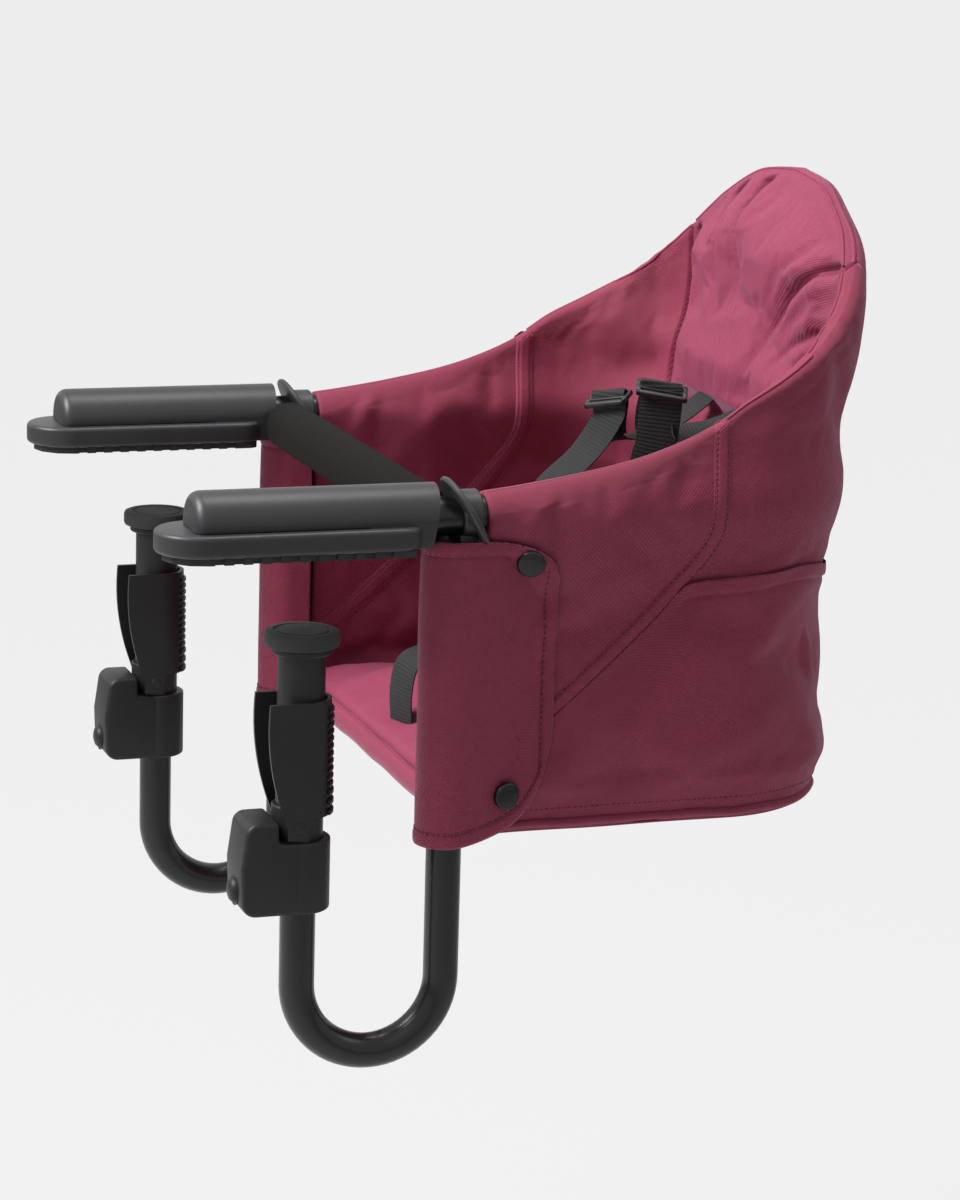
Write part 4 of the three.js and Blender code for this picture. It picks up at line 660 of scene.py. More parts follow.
SIDE_RUN = CORNER_Y - CUFF_Y
CORNER_RUN = CORNER * math.pi / 2
HALF_RUN = SIDE_RUN + CORNER_RUN + CORNER_X
FULL_RUN = 2 * HALF_RUN
WING_END = SIDE_RUN + CORNER * math.acos((BACK_HALF - CORNER_X) / CORNER)
STRIP_RUN = 170 - CUFF_Y
LOWER_ROWS, UPPER_ROWS = 36, 22
SIMULATED_FRAMES = 20


def rising(*knots):
    """A smooth curve through (place, value) knots, as a function of the place."""
    places, values = zip(*knots)
    last = len(knots) - 1
    slopes = []
    for i in range(last + 1):
        before, after = max(i - 1, 0), min(i + 1, last)
        slopes.append((values[after] - values[before]) / (places[after] - places[before]))

    def value(place):
        if place <= places[0]:
            return values[0]
        if place >= places[last]:
            return values[last]
        i = next(i for i in range(last) if place <= places[i + 1])
        span = places[i + 1] - places[i]
        t = (place - places[i]) / span
        return ((2 * t ** 3 - 3 * t ** 2 + 1) * values[i] + (t ** 3 - 2 * t ** 2 + t) * span * slopes[i]
                + (3 * t ** 2 - 2 * t ** 3) * values[i + 1] + (t ** 3 - t ** 2) * span * slopes[i + 1])
    return value


rim_line = rising((0, 31), (20, 33.4), (53, 38.5), (89, 45.9), (118, 55.5), (140, 66), (155, 76), (176, 88),
                  (191, 97.3), (205, 106.5), (228, 125.5), (243, 137), (257, 147.5), (268, 155.5), (286, 166),
                  (318, 181), (336, 186), (HALF_RUN, 189.5))
rear_lean = rising((40, 0), (52, 1.5), (64, 5), (76, 9.6), (88, 13), (100, 15), (122, 16.4), (140, 16.2), (156, 17.6),
                   (165, 19.2), (173, 21), (181, 23.6), (186, 25.6), (190, 28))
strip_height = rising(*[(y - CUFF_Y, z) for y, z in reversed(STRIP[4:])])


def from_cuff(run):
    """The distance of a run from the nearer cuff."""
    return min(run, FULL_RUN - run)


def rim_height(run):
    return rim_line(from_cuff(run))


def wall_plan(run):
    """The place, the outward direction and the turn at a run."""
    near, side = from_cuff(run), -1 if run > HALF_RUN else 1
    if near < SIDE_RUN:
        return Vector((side * WALL_X, CUFF_Y + near, 0)), Vector((side, 0, 0)), 0
    if near < SIDE_RUN + CORNER_RUN:
        angle = (near - SIDE_RUN) / CORNER
        out = Vector((side * math.cos(angle), math.sin(angle), 0))
        return Vector((side * CORNER_X, CORNER_Y, 0)) + CORNER * out, out, angle
    return Vector((side * (HALF_RUN - near), REAR_Y, 0)), Vector((0, 1, 0)), math.pi / 2


def run_of(point):
    """The run of a point on the wall."""
    if point.y < CORNER_Y:
        near = point.y - CUFF_Y
    elif abs(point.x) > CORNER_X:
        near = SIDE_RUN + CORNER * math.atan2(point.y - CORNER_Y, abs(point.x) - CORNER_X)
    else:
        near = HALF_RUN - abs(point.x)
    return near if point.x > 0 else FULL_RUN - near


def wall_swell(z, angle):
    """How far the cloth stands out over the arm or the bow."""
    return (10 - 3.4 * math.sin(angle)) * bump(z, ARM_Z, 26)


def wall_thickness(run, z, angle):
    """The wall's thickness: over the tube inside it, and padded towards the rim of the wings."""
    hollow = 11 * bump(z, ARM_Z, 22)
    padding = 8.5 * ramp(from_cuff(run) - STRIP_RUN, 4, 60) * ramp(z, 36, 40)
    return 7 + wall_swell(z, angle) + hollow + padding


def rolled(z, rim, thick):
    """How far a face is drawn in by the round rim, at a height."""
    half = thick / 2
    share = min(max((z - rim + half) / half, 0), 0.985)
    return half * (1 - math.sqrt(max(1 - share * share, 0)))


def wall_spot(run, z, inside=False):
    """A point on the wall's outer or inner face."""
    place, out, angle = wall_plan(run)
    near, rim, rearward = from_cuff(run), rim_height(run), math.sin(angle)
    thick = wall_thickness(run, z, angle)
    curl = rolled(z, rim, thick)
    tuck = -6 * ramp(z, -138, -28) - 7 * bump(z, -66, 52) * rearward
    point = place + out * (wall_swell(z, angle) + tuck + (curl - thick if inside else -curl))
    point.z = z
    point.y += rear_lean(z) * rearward
    slant = ripple((point.y * 0.5 - z, (point.y * 0.5 + z) * 0.3, point.x), 30, 1.9, 5.2)
    folds = ripple(point, 52, 1.6, 3.1) + slant * ramp(z, -8, -30) * (1 - 0.6 * rearward)
    snug = 1 - 0.85 * bump(z, ARM_Z, 20)
    gathers = max(ripple((near * 1.1 - z * 0.35, z * 0.3, 3 if inside else 1), 13, 4.2, 2.2), 0)
    gathers *= bump(near, 0, 62) * ramp(near, 3, 12) * ramp(z, -30, 30)
    shift = folds * snug * ramp(rim - z, 0, 20) + gathers * ramp(rim - z, 0, 12) * (-1 if inside else 1)
    return point + out * shift


LEFT_COLUMNS = spread(0, SIDE_RUN, 30)[:-1] + spread(SIDE_RUN, WING_END, 22)[:-1] + spread(WING_END, HALF_RUN, 20)
WALL_COLUMNS = LEFT_COLUMNS + [FULL_RUN - run for run in reversed(LEFT_COLUMNS[:-1])]


def wall_height(run, row):
    """The height of a row of the wall: even up to the hem line, then closer towards the rim."""
    rim = rim_height(run)
    hem = min(HEM_Z, rim - 14)
    if row <= LOWER_ROWS:
        return SEAT_LOW + (hem - SEAT_LOW) * row / LOWER_ROWS
    return hem + (rim - hem) * (1 - (1 - (row - LOWER_ROWS) / UPPER_ROWS) ** 2)


def wall_face(inside):
    """One face of the wall, open in the middle of the rear for the folding back."""
    rows, last = LOWER_ROWS + UPPER_ROWS, len(WALL_COLUMNS) - 1

    def place(u, v):
        run = WALL_COLUMNS[round(u * last)]
        return wall_spot(run, wall_height(run, round(v * rows)), inside)

    bm = cloth_grid(last, rows, place, (FULL_RUN, 250))
    opening = []
    for face in bm.faces:
        middle = face.calc_center_median()
        if middle.z > HEM_Z and middle.y > CORNER_Y and abs(middle.x) < BACK_HALF - 1:
            opening.append(face)
    bmesh.ops.delete(bm, geom=opening, context="FACES")
    return bm


def puffed(piece, sewn, cap):
    """Swells a closed cover between its seams in a cloth simulation. sewn(point) is 1 where it is held down."""
    flat = [vertex.co.copy() for vertex in piece.data.vertices]
    held = piece.vertex_groups.new(name="sewn")
    for index, spot in enumerate(flat):
        held.add([index], sewn(spot / MM), "REPLACE")
    cover = piece.modifiers.new("cover", "CLOTH")
    settings = cover.settings
    settings.quality, settings.mass = 5, 0.15
    settings.tension_stiffness = settings.compression_stiffness = 14
    settings.shear_stiffness, settings.bending_stiffness = 6, 0.6
    settings.use_pressure, settings.uniform_pressure_force = True, 4
    settings.shrink_min = -0.02
    settings.vertex_group_mass = "sewn"
    settings.effector_weights.gravity = 0
    cover.collision_settings.use_collision = False
    for step in range(1, SIMULATED_FRAMES + 1):
        bpy.context.scene.frame_set(step)
    swollen = piece.evaluated_get(bpy.context.evaluated_depsgraph_get()).to_mesh()
    moves = [vertex.co - spot for vertex, spot in zip(swollen.vertices, flat)]
    piece.modifiers.clear()
    piece.vertex_groups.clear()
    bpy.context.scene.frame_set(1)
    for vertex, spot, move in zip(piece.data.vertices, flat, moves):
        vertex.co = spot + move * min(1, cap * MM / max(move.length, 1e-9))
    return piece


def softened(piece):
    """Rounds a piece by one subdivision, which its mesh keeps."""
    rounding = piece.modifiers.new("rounding", "SUBSURF")
    rounding.levels = rounding.render_levels = 1
    mesh = bpy.data.meshes.new_from_object(piece.evaluated_get(bpy.context.evaluated_depsgraph_get()))
    piece.modifiers.clear()
    piece.data = mesh
    return piece


def course_gap(a, b, course):
    """A place's distance from a line of straight lengths, signed by its side, and how many lengths along it lies."""
    best = None
    for index, ((a0, b0), (a1, b1)) in enumerate(zip(course, course[1:])):
        run, onward = Vector((a1 - a0, b1 - b0)), Vector((a - a0, b - b0))
        along = min(max(onward.dot(run) / run.length_squared, 0), 1)
        gap = (onward - run * along).length
        if best is None or gap < abs(best[0]):
            side = 1 if run.x * onward.y - run.y * onward.x > 0 else -1
            best = (gap * side, index + along)
    return best


def wall_sewn(point):
    """Where the wall is sewn down: its bottom, cuffs, strips and rim, and along the opening for the back."""
    run = run_of(point)
    near = from_cuff(run)
    free = min(ramp(point.z, -158, 26), ramp(point.y, 34, 26), ramp(rim_height(run) - point.z, 3, 16))
    if near < STRIP_RUN + 25:
        free = min(free, ramp(abs(course_gap(point.y, point.z, STRIP)[0]), 5, 16))
    if near > SIDE_RUN - 20:
        free = min(free, ramp(abs(point.z - ARM_Z), 8, 34))
    if near > WING_END - 24 and point.z > 8:
        free = min(free, max(ramp(near, WING_END, -24), ramp(point.z, HEM_Z, -24)))
    return 1 - free


wall = softened(puffed(finished(closed_pair(wall_face(False), wall_face(True)), "seat_wall", None, "cloth", [
    "side_panel_left", "side_panel_right", "wing_left", "wing_right", "seat_bucket", "bow_casing"]), wall_sewn, 6))
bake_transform(wall)


# Folding back: the middle of the same wall, with a crowned and pleated face

BACK_FROM, BACK_TO = WING_END + 0.2, FULL_RUN - WING_END - 0.2
BACK_COLUMNS, BACK_ROWS, BACK_TALL = 112, 84, 160
# Each pleat's depth, its width and its course, from the rim down
PLEATS = (
    (5.0, 2.5, [(-48, 184), (-60, 166), (-60, 150), (-56, 128), (-50, 84)]),
    (5.4, 2.5, [(-8, 189), (-26, 177), (-30, 162), (-22, 130), (-16, 80)]),
    (6.4, 2.4, [(118, 146), (88, 137), (60, 121), (38, 96), (20, 66)]),
    (6.0, 2.3, [(118, 104), (96, 102), (72, 92), (48, 72)]),
    (6.0, 4.0, [(-106, 138), (-99, 112), (-97, 86), (-103, 58)]),
)


def pleat_relief(x, z):
    """How far the pleats draw the face in, less the swell of the padding beside them."""
    relief = 0
    for depth, width, course in PLEATS:
        gap, reach = course_gap(x, z, course)
        fade = ramp((1 - reach / (len(course) - 1)) * 1.8, 0, 1)
        relief += depth * fade * (bump(gap, 0, width) - 0.36 * bump(abs(gap), 9, 6))
    return relief


def back_face(inside):
    """The outer cover, or the crowned and pleated face; they meet in the round rim of the wings."""
    def place(u, v):
        run = BACK_FROM + (BACK_TO - BACK_FROM) * u
        rim = rim_height(run)
        z = BACK_LOW + (rim - BACK_LOW) * (1 - (1 - v) ** 1.8)
        point = wall_spot(run, z, inside)
        if not inside:
            return point
        edge = min(run - BACK_FROM, BACK_TO - run)
        below_rim = ramp(rim - z, 6, 34)
        crown = 12 * below_rim * ramp(edge, 0, 30) * ramp(z, BACK_LOW, 14)
        crown -= pleat_relief(point.x, z) * ramp(rim - z, 2, 9) * ramp(edge, 0, 8)
        return point - wall_plan(run)[1] * (crown + ripple(point, 42, 1.8, 9.2) * below_rim)

    return cloth_grid(BACK_COLUMNS, BACK_ROWS, place, (BACK_TO - BACK_FROM, BACK_TALL))


def back_sewn(point):
    """Where the back is sewn down: its sides, its lower edge, its rim and its pleats."""
    run = run_of(point)
    edge = min(run - BACK_FROM, BACK_TO - run)
    free = min(ramp(edge, 2, 22), ramp(point.z - BACK_LOW, 2, 18), ramp(rim_height(run) - point.z, 3, 18))
    return 1 - min(free, 1 - ramp(pleat_relief(point.x, point.z), 0, 2.5))


# The back takes the lighter, pinker copy of the cloth: painted light on its lit face
back = softened(puffed(finished(closed_pair(back_face(False), back_face(True)), "back_panel", "backrest", "lining", [
    "back_cover", "back_board", "back_pad"]), back_sewn, 5))


def skin_of(*pieces):
    """The finished faces of pieces, to lay sewn details on."""
    points, faces = [], []
    for piece in pieces:
        first = len(points)
        points += [vertex.co / MM for vertex in piece.data.vertices]
        faces += [[first + corner for corner in face.vertices] for face in piece.data.polygons]
    return BVHTree.FromPolygons(points, faces)


SKIN = skin_of(wall, back)


# Seat cushion

SEAT_FRONT, SEAT_DEPTH, SEAT_WIDTH, SEAT_MAP = 25, 234, 330, (330, 235)
CUSHION_LOW, CUSHION_CORNER, CUSHION_THICK, CUSHION_CROWN = -158, 72, 10, 8


def base_half(y, corner):
    """Half the seat's width at a distance from the front, with its rear corners rounded."""
    beyond = max(y - CORNER_Y, 0)
    return CORNER_X + math.sqrt(max(corner ** 2 - beyond ** 2, 0))


def seat_cushion():
    def place(u, v):
        y = SEAT_FRONT + SEAT_DEPTH * v
        half = base_half(y, CUSHION_CORNER) - 2 * math.sin(v * math.pi)
        return Vector((half * (2 * u - 1), y, CUSHION_LOW))

    bm = cloth_grid(36, 28, place, SEAT_MAP)
    bmesh.ops.solidify(bm, geom=bm.faces[:], thickness=-CUSHION_THICK)
    for vertex in bm.verts:
        if vertex.co.z > CUSHION_LOW + 8:
            u, v = vertex.co.x / SEAT_WIDTH + 0.5, (vertex.co.y - SEAT_FRONT) / SEAT_DEPTH
            crown = CUSHION_CROWN * (1 - (2 * u - 1) ** 4) * (1 - (2 * v - 1) ** 4)
            vertex.co.z += crown + ripple(vertex.co, 40, 1.2, 2.2)
    return outward(bm)


def cushion_sewn(point):
    """The cushion is held at its underside and round its edge."""
    half = base_half(point.y, CUSHION_CORNER)
    edge = min(point.y - SEAT_FRONT, SEAT_FRONT + SEAT_DEPTH - point.y, half - abs(point.x))
    return 1 - min(ramp(point.z, CUSHION_LOW + 2, 4), ramp(edge, 0, 16))


# The cushion takes the same lighter, pinker copy of the cloth: painted light, as on the back
cushion = softened(puffed(finished(seat_cushion(), "seat_cushion_cover", "frame", "lining", ["seat_cushion"]),
                          cushion_sewn, 6))


# Sewn strips, pocket and seams on the seat wall

# Stitches are drawn in lengths of about this many corners, because adding to a longer one is slow
LONGEST_DRAWN = 700
STRIP_WIDTH, STRIP_ROW = 11, 3.6
STRIP_KNOTS = [Vector((0, y, z)) for y, z in STRIP]
STRIP_COURSE = [curve_at(STRIP_KNOTS, t) for t in even_places(STRIP_KNOTS, 120)]
POCKET_FRONT, POCKET_LOW, POCKET_HEM_FROM = 17, -160, 120
POCKET_RUN = 2 * (HALF_RUN - POCKET_FRONT)
WELT_FRONT = 12
pocket_hem = rising((118, -25.5), (157, -21.5), (206, -20.5), (256, -28), (HALF_RUN, -30))


def run_at(y, side):
    """The run of a place on the wall's left or right side."""
    return y - CUFF_Y if side > 0 else FULL_RUN - (y - CUFF_Y)


def on_wall(run, z, lift, inside=False):
    """A point that stands off the wall's outer or inner face, with the direction it stands in."""
    here = wall_spot(run, z, inside)
    onward = wall_spot(run + 1.5, z, inside) - wall_spot(run - 1.5, z, inside)
    upward = wall_spot(run, z + 1.5, inside) - wall_spot(run, z - 1.5, inside)
    out = onward.cross(upward).normalized() * (-1 if inside else 1)
    touch = SKIN.ray_cast(here + out * 16, -out, 32)[0]
    return (touch or here) + out * lift, out


def stitched(lines, name, mirrored=False, pitch=3.3, long=2.3, thick=0.5):
    """Rows of stitches: each line holds points and the directions they stand in."""
    lengths = []
    for line in lines:
        travelled = 0.0
        for (here, out), (there, _) in zip(line, line[1:]):
            step = there - here
            travelled += step.length
            if travelled < pitch:
                continue
            travelled -= pitch
            if not lengths or len(lengths[-1].verts) > LONGEST_DRAWN:
                lengths.append(bmesh.new())
            along = step.normalized()
            wide = out.cross(along).normalized()
            turn = Matrix((along * long / 2, wide * thick, along.cross(wide) * thick)).transposed().to_4x4()
            bmesh.ops.create_uvsphere(lengths[-1], u_segments=6, v_segments=4, radius=1,
                                      matrix=Matrix.Translation(here) @ turn)
    return finished(outward(joined(*lengths)), name, "frame", "thread", mirrored=mirrored)


def strip_place(side, along, across, lift, inside):
    """A place on a strip: along it from the rim, and across it from its middle."""
    index = along * (len(STRIP_COURSE) - 1)
    low = min(int(index), len(STRIP_COURSE) - 2)
    spot = STRIP_COURSE[low].lerp(STRIP_COURSE[low + 1], index - low)
    way = (STRIP_COURSE[low + 1] - STRIP_COURSE[low]).normalized()
    y, z = spot.y - way.z * across, spot.z + way.y * across
    run = run_at(y, side)
    return on_wall(run, min(z, rim_height(run) - 0.4), lift, inside)


def strips():
    """The felled strips on both faces of the wall, and their twin rows of stitches."""
    rows = []
    for label, side in SIDES:
        for face, inside in (("outer", False), ("inner", True)):
            def place(u, v):
                across = (v - 0.5) * STRIP_WIDTH
                lift = -0.5 + 1.5 * (1 - (2 * v - 1) ** 6) - 0.7 * bump(abs(across), STRIP_ROW, 0.8)
                return strip_place(side, u, across, lift, inside)[0]

            band = cloth_grid(110, 16, place, (280, STRIP_WIDTH))
            finished(thickened(outward(band), 0.6), f"strip_{face}_{label}", "frame", "cloth")
            for across in (-STRIP_ROW, STRIP_ROW):
                rows.append([strip_place(side, along, across, 0.5, inside) for along in spread(0.01, 0.99, 400)])
    stitched(rows, "strip_stitching")


def pocket_top(run):
    """The pocket's upper edge: its hem across the rear, and the strips beside it."""
    near = from_cuff(run)
    return min(pocket_hem(near), strip_height(near) - STRIP_WIDTH / 2 + 1)


def pocket_place(run, z, lift=0.0):
    """A place on the pocket's cloth, which stands off the wall a little at its mouth."""
    near, below = from_cuff(run), pocket_top(run) - z
    slant = max(ripple((run * 0.5 - z, (run * 0.5 + z) * 0.3, 4), 26, 2.2, 6.1), -0.3)
    slack = 0.9 + slant * ramp(below, 0, 16) * ramp(near, 60, 50) * ramp(z, POCKET_LOW, 20)
    hem = (ramp(below, 8, -1.6) - 0.9 * bump(below, 9, 2)) * ramp(near, 112, 14)
    return on_wall(run, z, slack + hem + lift)


def back_pocket():
    def place(u, v):
        run = POCKET_FRONT + u * POCKET_RUN
        return pocket_place(run, POCKET_LOW + (pocket_top(run) - POCKET_LOW) * v)[0]

    return thickened(cloth_grid(200, 84, place, (POCKET_RUN, 136)), 1.1)


def pocket_stitching():
    """One row inside the hem and one along the bottom."""
    upper = [pocket_place(run, pocket_top(run) - 8.2, 0.35)
             for run in spread(POCKET_HEM_FROM, FULL_RUN - POCKET_HEM_FROM, 500)]
    lower = [pocket_place(run, POCKET_LOW + 7, 0.3)
             for run in spread(POCKET_FRONT + 4, FULL_RUN - POCKET_FRONT - 4, 700)]
    return stitched([upper, lower], "pocket_stitching")


def bottom_welt():
    """The piped seam between the wall and the bottom panel."""
    points = [on_wall(run, SEAT_LOW + 4 + ripple((run, 0, 0), 24, 0.8, 2.9), 0.4)[0]
              for run in spread(WELT_FRONT, FULL_RUN - WELT_FRONT, 260)]
    return tube(points, 2.9, 12)


def rim_turn(run):
    """Where the seam lies round the rim: 0 on its crown, and positive on the inner side."""
    near = from_cuff(run)
    return math.radians(-8 + 55 * ramp(near, 190, 26) - 22 * ramp(near, 262, 40))


def rim_seam(first, last, count):
    """A corded seam along the rim, between two runs."""
    points = []
    for run in spread(first, last, count):
        turn, rim = rim_turn(run), rim_height(run)
        half = wall_thickness(run, rim - 6, wall_plan(run)[2]) / 2
        points.append(on_wall(run, rim - 0.3 - half * (1 - math.cos(turn)), 0.1, turn > 0)[0])
    return tube(points, 0.9, 8)


strips()
pocket = finished(back_pocket(), "back_pocket_cloth", "frame", "cloth", ["back_pocket"])
POCKET_RUN * MM
pocket_stitching()
finished(bottom_welt(), "bottom_welt", "frame", "cloth")
for label, first, last in (("left", STRIP_RUN + 3, WING_END - 0.5),
                           ("right", FULL_RUN - WING_END + 0.5, FULL_RUN - STRIP_RUN - 3)):
    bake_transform(finished(rim_seam(first, last, 110), f"rim_seam_{label}", None, "cloth"))
finished(rim_seam(BACK_FROM, BACK_TO, 200), "rim_seam_back", "backrest", "cloth")


# Leg flaps and their press studs

FLAP_RADIUS, FLAP_REAR, FLAP_INNER_END, FLAP_HEM, FLAP_THICK = 16.4, 73, 24.5, 7, 1.5
FLAP_FRONT_RUN = FLAP_INNER_END - LEG_Y
FLAP_ARC_RUN = FLAP_FRONT_RUN + math.pi * FLAP_RADIUS
FLAP_RUN = FLAP_ARC_RUN + FLAP_REAR - LEG_Y
flap_upper = rising((-20, 5), (LEG_Y, 6), (40, 4.4), (56, 0.5), (64, -4), (69.5, -9), (FLAP_REAR, -18))
flap_lower = rising((-20, -167), (LEG_Y, -167), (36, -162), (52, -155), (62, -143), (69, -126), (FLAP_REAR, -106))


def flap_plan(run):
    """A place on the flap in plan, round the front of the leg and then back along the wall, and its way out."""
    if run < FLAP_FRONT_RUN:
        return Vector((ARM_X - FLAP_RADIUS, FLAP_INNER_END - run, 0)), -X
    if run < FLAP_ARC_RUN:
        angle = math.pi + (run - FLAP_FRONT_RUN) / FLAP_RADIUS
        out = Vector((math.cos(angle), math.sin(angle), 0))
        return Vector((ARM_X, LEG_Y, 0)) + FLAP_RADIUS * out, out
    back_way = (run - FLAP_ARC_RUN) / (FLAP_REAR - LEG_Y)
    x, y = ARM_X + FLAP_RADIUS - 10.6 * ramp(back_way, 0, 1), LEG_Y + back_way * (FLAP_REAR - LEG_Y)
    return Vector((x, y, 0)), X


def flap_spot(run, z, lift=0.0):
    """A point on the flap's cloth, which lies on the wall behind the leg."""
    place, out = flap_plan(run)
    if run > FLAP_ARC_RUN and place.y > CUFF_Y:
        place.x = max(place.x, on_wall(place.y - CUFF_Y, z, 2.0)[0].x)
    loose = 0.5 + ripple((run, z * 0.45, 2), 30, 1.2, 1.3)
    point = place + out * (loose + lift)
    point.z = z
    return point


def flap_edges(run):
    """The heights of the flap's lower and upper edges."""
    y = flap_plan(run)[0].y if run > FLAP_ARC_RUN else LEG_Y
    return flap_lower(y), flap_upper(y)


def leg_flap():
    def place(u, v):
        run = FLAP_RUN * u
        low, high = flap_edges(run)
        z = low + (high - low) * v
        inset = min(z - low, high - z, FLAP_RUN - run)
        groove = 0.7 * bump(inset, FLAP_HEM, 1.4)
        return flap_spot(run, z, 0.8 * ramp(inset, FLAP_HEM, -2) - groove - 0.5 * ramp(inset, 2, -2))

    return thickened(cloth_grid(100, 120, place, (FLAP_RUN, 172)), FLAP_THICK)


def flap_hem_lines():
    """The row of stitches inside the flap's hem: along the top, down the rear edge and along the bottom."""
    last = FLAP_RUN - FLAP_HEM
    low, high = flap_edges(last)
    course = [(run, flap_edges(run)[1] - FLAP_HEM) for run in spread(0, last, 160)]
    course += [(last, z) for z in spread(high - FLAP_HEM, low + FLAP_HEM, 100)[1:-1]]
    course += [(run, flap_edges(run)[0] + FLAP_HEM) for run in spread(last, 0, 160)]
    return [[(flap_spot(run, z, -0.1), flap_plan(run)[1]) for run, z in course]]


def stud_cap(y, z):
    """A domed cap with a groove round it, square to the flap's cloth."""
    run = FLAP_ARC_RUN + y - LEG_Y
    onward, upward = flap_spot(run + 3, z) - flap_spot(run - 3, z), flap_spot(run, z + 3) - flap_spot(run, z - 3)
    profile = [(0, -1.5), (7.6, -1.5), (8, 0.4), (8, 1.5), (7.5, 2.3), (6.6, 2.8), (6.0, 2.7), (5.4, 2.9), (2.5, 3.2),
               (0, 3.25)]
    return turned(profile, onward.cross(upward).normalized(), flap_spot(run, z, 1.3), 40)


flaps = both_sides(leg_flap, "leg_flap_cloth", "frame", "cloth", "leg_flap")
for (label, side), flap in zip(SIDES, flaps):
    hem = stitched(flap_hem_lines(), f"flap_stitching_{label}", side < 0, 3.6, 2.6, 0.65)
both_sides(lambda: stud_cap(55, -8), "upper_stud_cap", "frame", "stud", "upper_stud")
both_sides(lambda: stud_cap(44.5, -140.5), "lower_stud_cap", "frame", "stud", "lower_stud")


# Bottom panel and front binding

PANEL_Z, PANEL_DEPTH, PANEL_CORNER, PANEL_THICK = -165.6, 234.5, 72.6, 1.6
BINDING_HALF, BINDING_Y, BINDING_Z, BINDING_RADIUS, BINDING_STRETCH = 150, 22.3, -158, 3.6, 2.1


def bottom_panel():
    def place(u, v):
        y = SEAT_FRONT + PANEL_DEPTH * v
        spot = Vector((base_half(y, PANEL_CORNER) * (2 * u - 1), y, PANEL_Z))
        return spot + Z * (ripple(spot, 60, 1.0, 7.7) + 0.3)

    return thickened(outward(cloth_grid(40, 34, place, SEAT_MAP)), -PANEL_THICK)


def front_binding():
    """A rolled edge, taller than it is deep."""
    points = [(x, BINDING_Y + ripple((x, 0, 0), 30, 0.5, 3.3), BINDING_Z + ripple((x, 9, 0), 40, 0.8, 1.1))
              for x in range(-BINDING_HALF, BINDING_HALF + 1, 5)]
    roll = tube(points, BINDING_RADIUS)
    for vertex in roll.verts:
        vertex.co.z = BINDING_Z + (vertex.co.z - BINDING_Z) * BINDING_STRETCH
    return roll


panel = finished(bottom_panel(), "bottom_panel_cloth", "frame", "cloth", ["bottom_panel"])
finished(front_binding(), "front_binding_cloth", "frame", "cloth", ["front_binding"])


# Harness

WEBBING_WIDTH, WEBBING_THICK = 25, 1.5
SLIDE_HALF_WIDTH, SLIDE_HALF_HEIGHT, SLIDE_BAR, SLIDE_DEPTH, SLIDE_LEAN = 15.5, 6.5, 1.5, 3.4, math.radians(62)
BUCKLE_AT = (0, 62, -82)


def webbing(points, widthways, steps=90):
    """A strap along a smooth course, its width held towards one direction or turning from point to point."""
    knots = [Vector(p) for p in points]
    towards = widthways if isinstance(widthways, list) else [widthways] * len(knots)
    places = even_places(knots, steps + 1)
    course = [curve_at(knots, t) for t in places]
    length = sum((b - a).length for a, b in zip(course, course[1:]))

    def face(depth):
        def place(u, v):
            at = round(v * steps)
            along = (course[min(at + 1, steps)] - course[max(at - 1, 0)]).normalized()
            wide = curve_at(towards, places[at])
            wide = (wide - along * along.dot(wide)).normalized()
            round_edge = depth * (1 - 0.5 * abs(2 * u - 1) ** 8)
            return course[at] + wide * (u - 0.5) * WEBBING_WIDTH + along.cross(wide) * round_edge
        return cloth_grid(8, steps, place, (WEBBING_WIDTH, length))

    return closed_pair(face(WEBBING_THICK / 2), face(-WEBBING_THICK / 2))


class Shoulder:
    """One shoulder strap: it leaves the back, folds over at its slide and hangs down to the buckle."""

    def __init__(self, slot, slide, wide, below):
        self.slide, self.wide = Vector(slide), Vector(wide).normalized()
        self.out = out = self.wide.cross(Z).normalized()
        slot = Vector(slot)
        behind = self.slide - out * 6 - Z * 22
        self.points = [slot, slot.lerp(behind, 0.5) - Z * 8, behind, self.slide - out * 2.4 + Z * 3,
                       self.slide + Z * 8.5, self.slide + out * 1.6 + Z * 4, self.slide + out * 1.2 - Z * 8,
                       *[Vector(p) for p, _ in below]]
        half_turned = (X + self.wide).normalized()
        self.widths = [X, half_turned, *[self.wide] * 5, *[Vector(w).normalized() for _, w in below]]

    def strap(self):
        return webbing(self.points, self.widths, steps=260)

    def slide_bars(self):
        """A three-bar slide, set across the strap."""
        outlines = [oblong(-SLIDE_HALF_WIDTH, z - SLIDE_BAR, SLIDE_HALF_WIDTH, z + SLIDE_BAR) for z in (-5, 0, 5)]
        outlines += [oblong(x - SLIDE_BAR, -SLIDE_HALF_HEIGHT, x + SLIDE_BAR, SLIDE_HALF_HEIGHT) for x in (-14, 14)]
        slide = joined(*[block(outline, -SLIDE_DEPTH, 0, "y", 0.9) for outline in outlines])
        up = self.wide.cross(self.out) * -math.cos(SLIDE_LEAN) - self.out * math.sin(SLIDE_LEAN)
        turn = Matrix((self.wide, up.cross(self.wide), up)).transposed().to_4x4()
        bmesh.ops.transform(slide, matrix=Matrix.Translation(self.slide + Z * 1.5) @ turn, verts=slide.verts)
        return outward(slide)


# Each strap's slot in the back, its slide and the slide's width; then places below, with the strap's width there
SHOULDERS = {
    "left": Shoulder((37, 256, 52), (36, 186, 58), (0.30, 0.94, -0.15), [
        ((37, 182, 24), (0.30, 0.94, -0.1)), ((34, 171, -8), (0.5, 0.85, -0.1)), ((25, 126, -50), (0.85, 0.4, -0.3)),
        ((14, 68, -62.4), X)]),
    "right": Shoulder((-37, 256, 52), (-37, 181, 41), (0.80, 0.51, 0.20), [
        ((-36, 166, 12), (0.8, 0.51, 0.1)), ((-32, 141, -10), (0.85, 0.45, -0.1)),
        ((-23, 110, -46), (0.95, 0.2, -0.2)), ((-14, 68, -62.4), X)]),
}


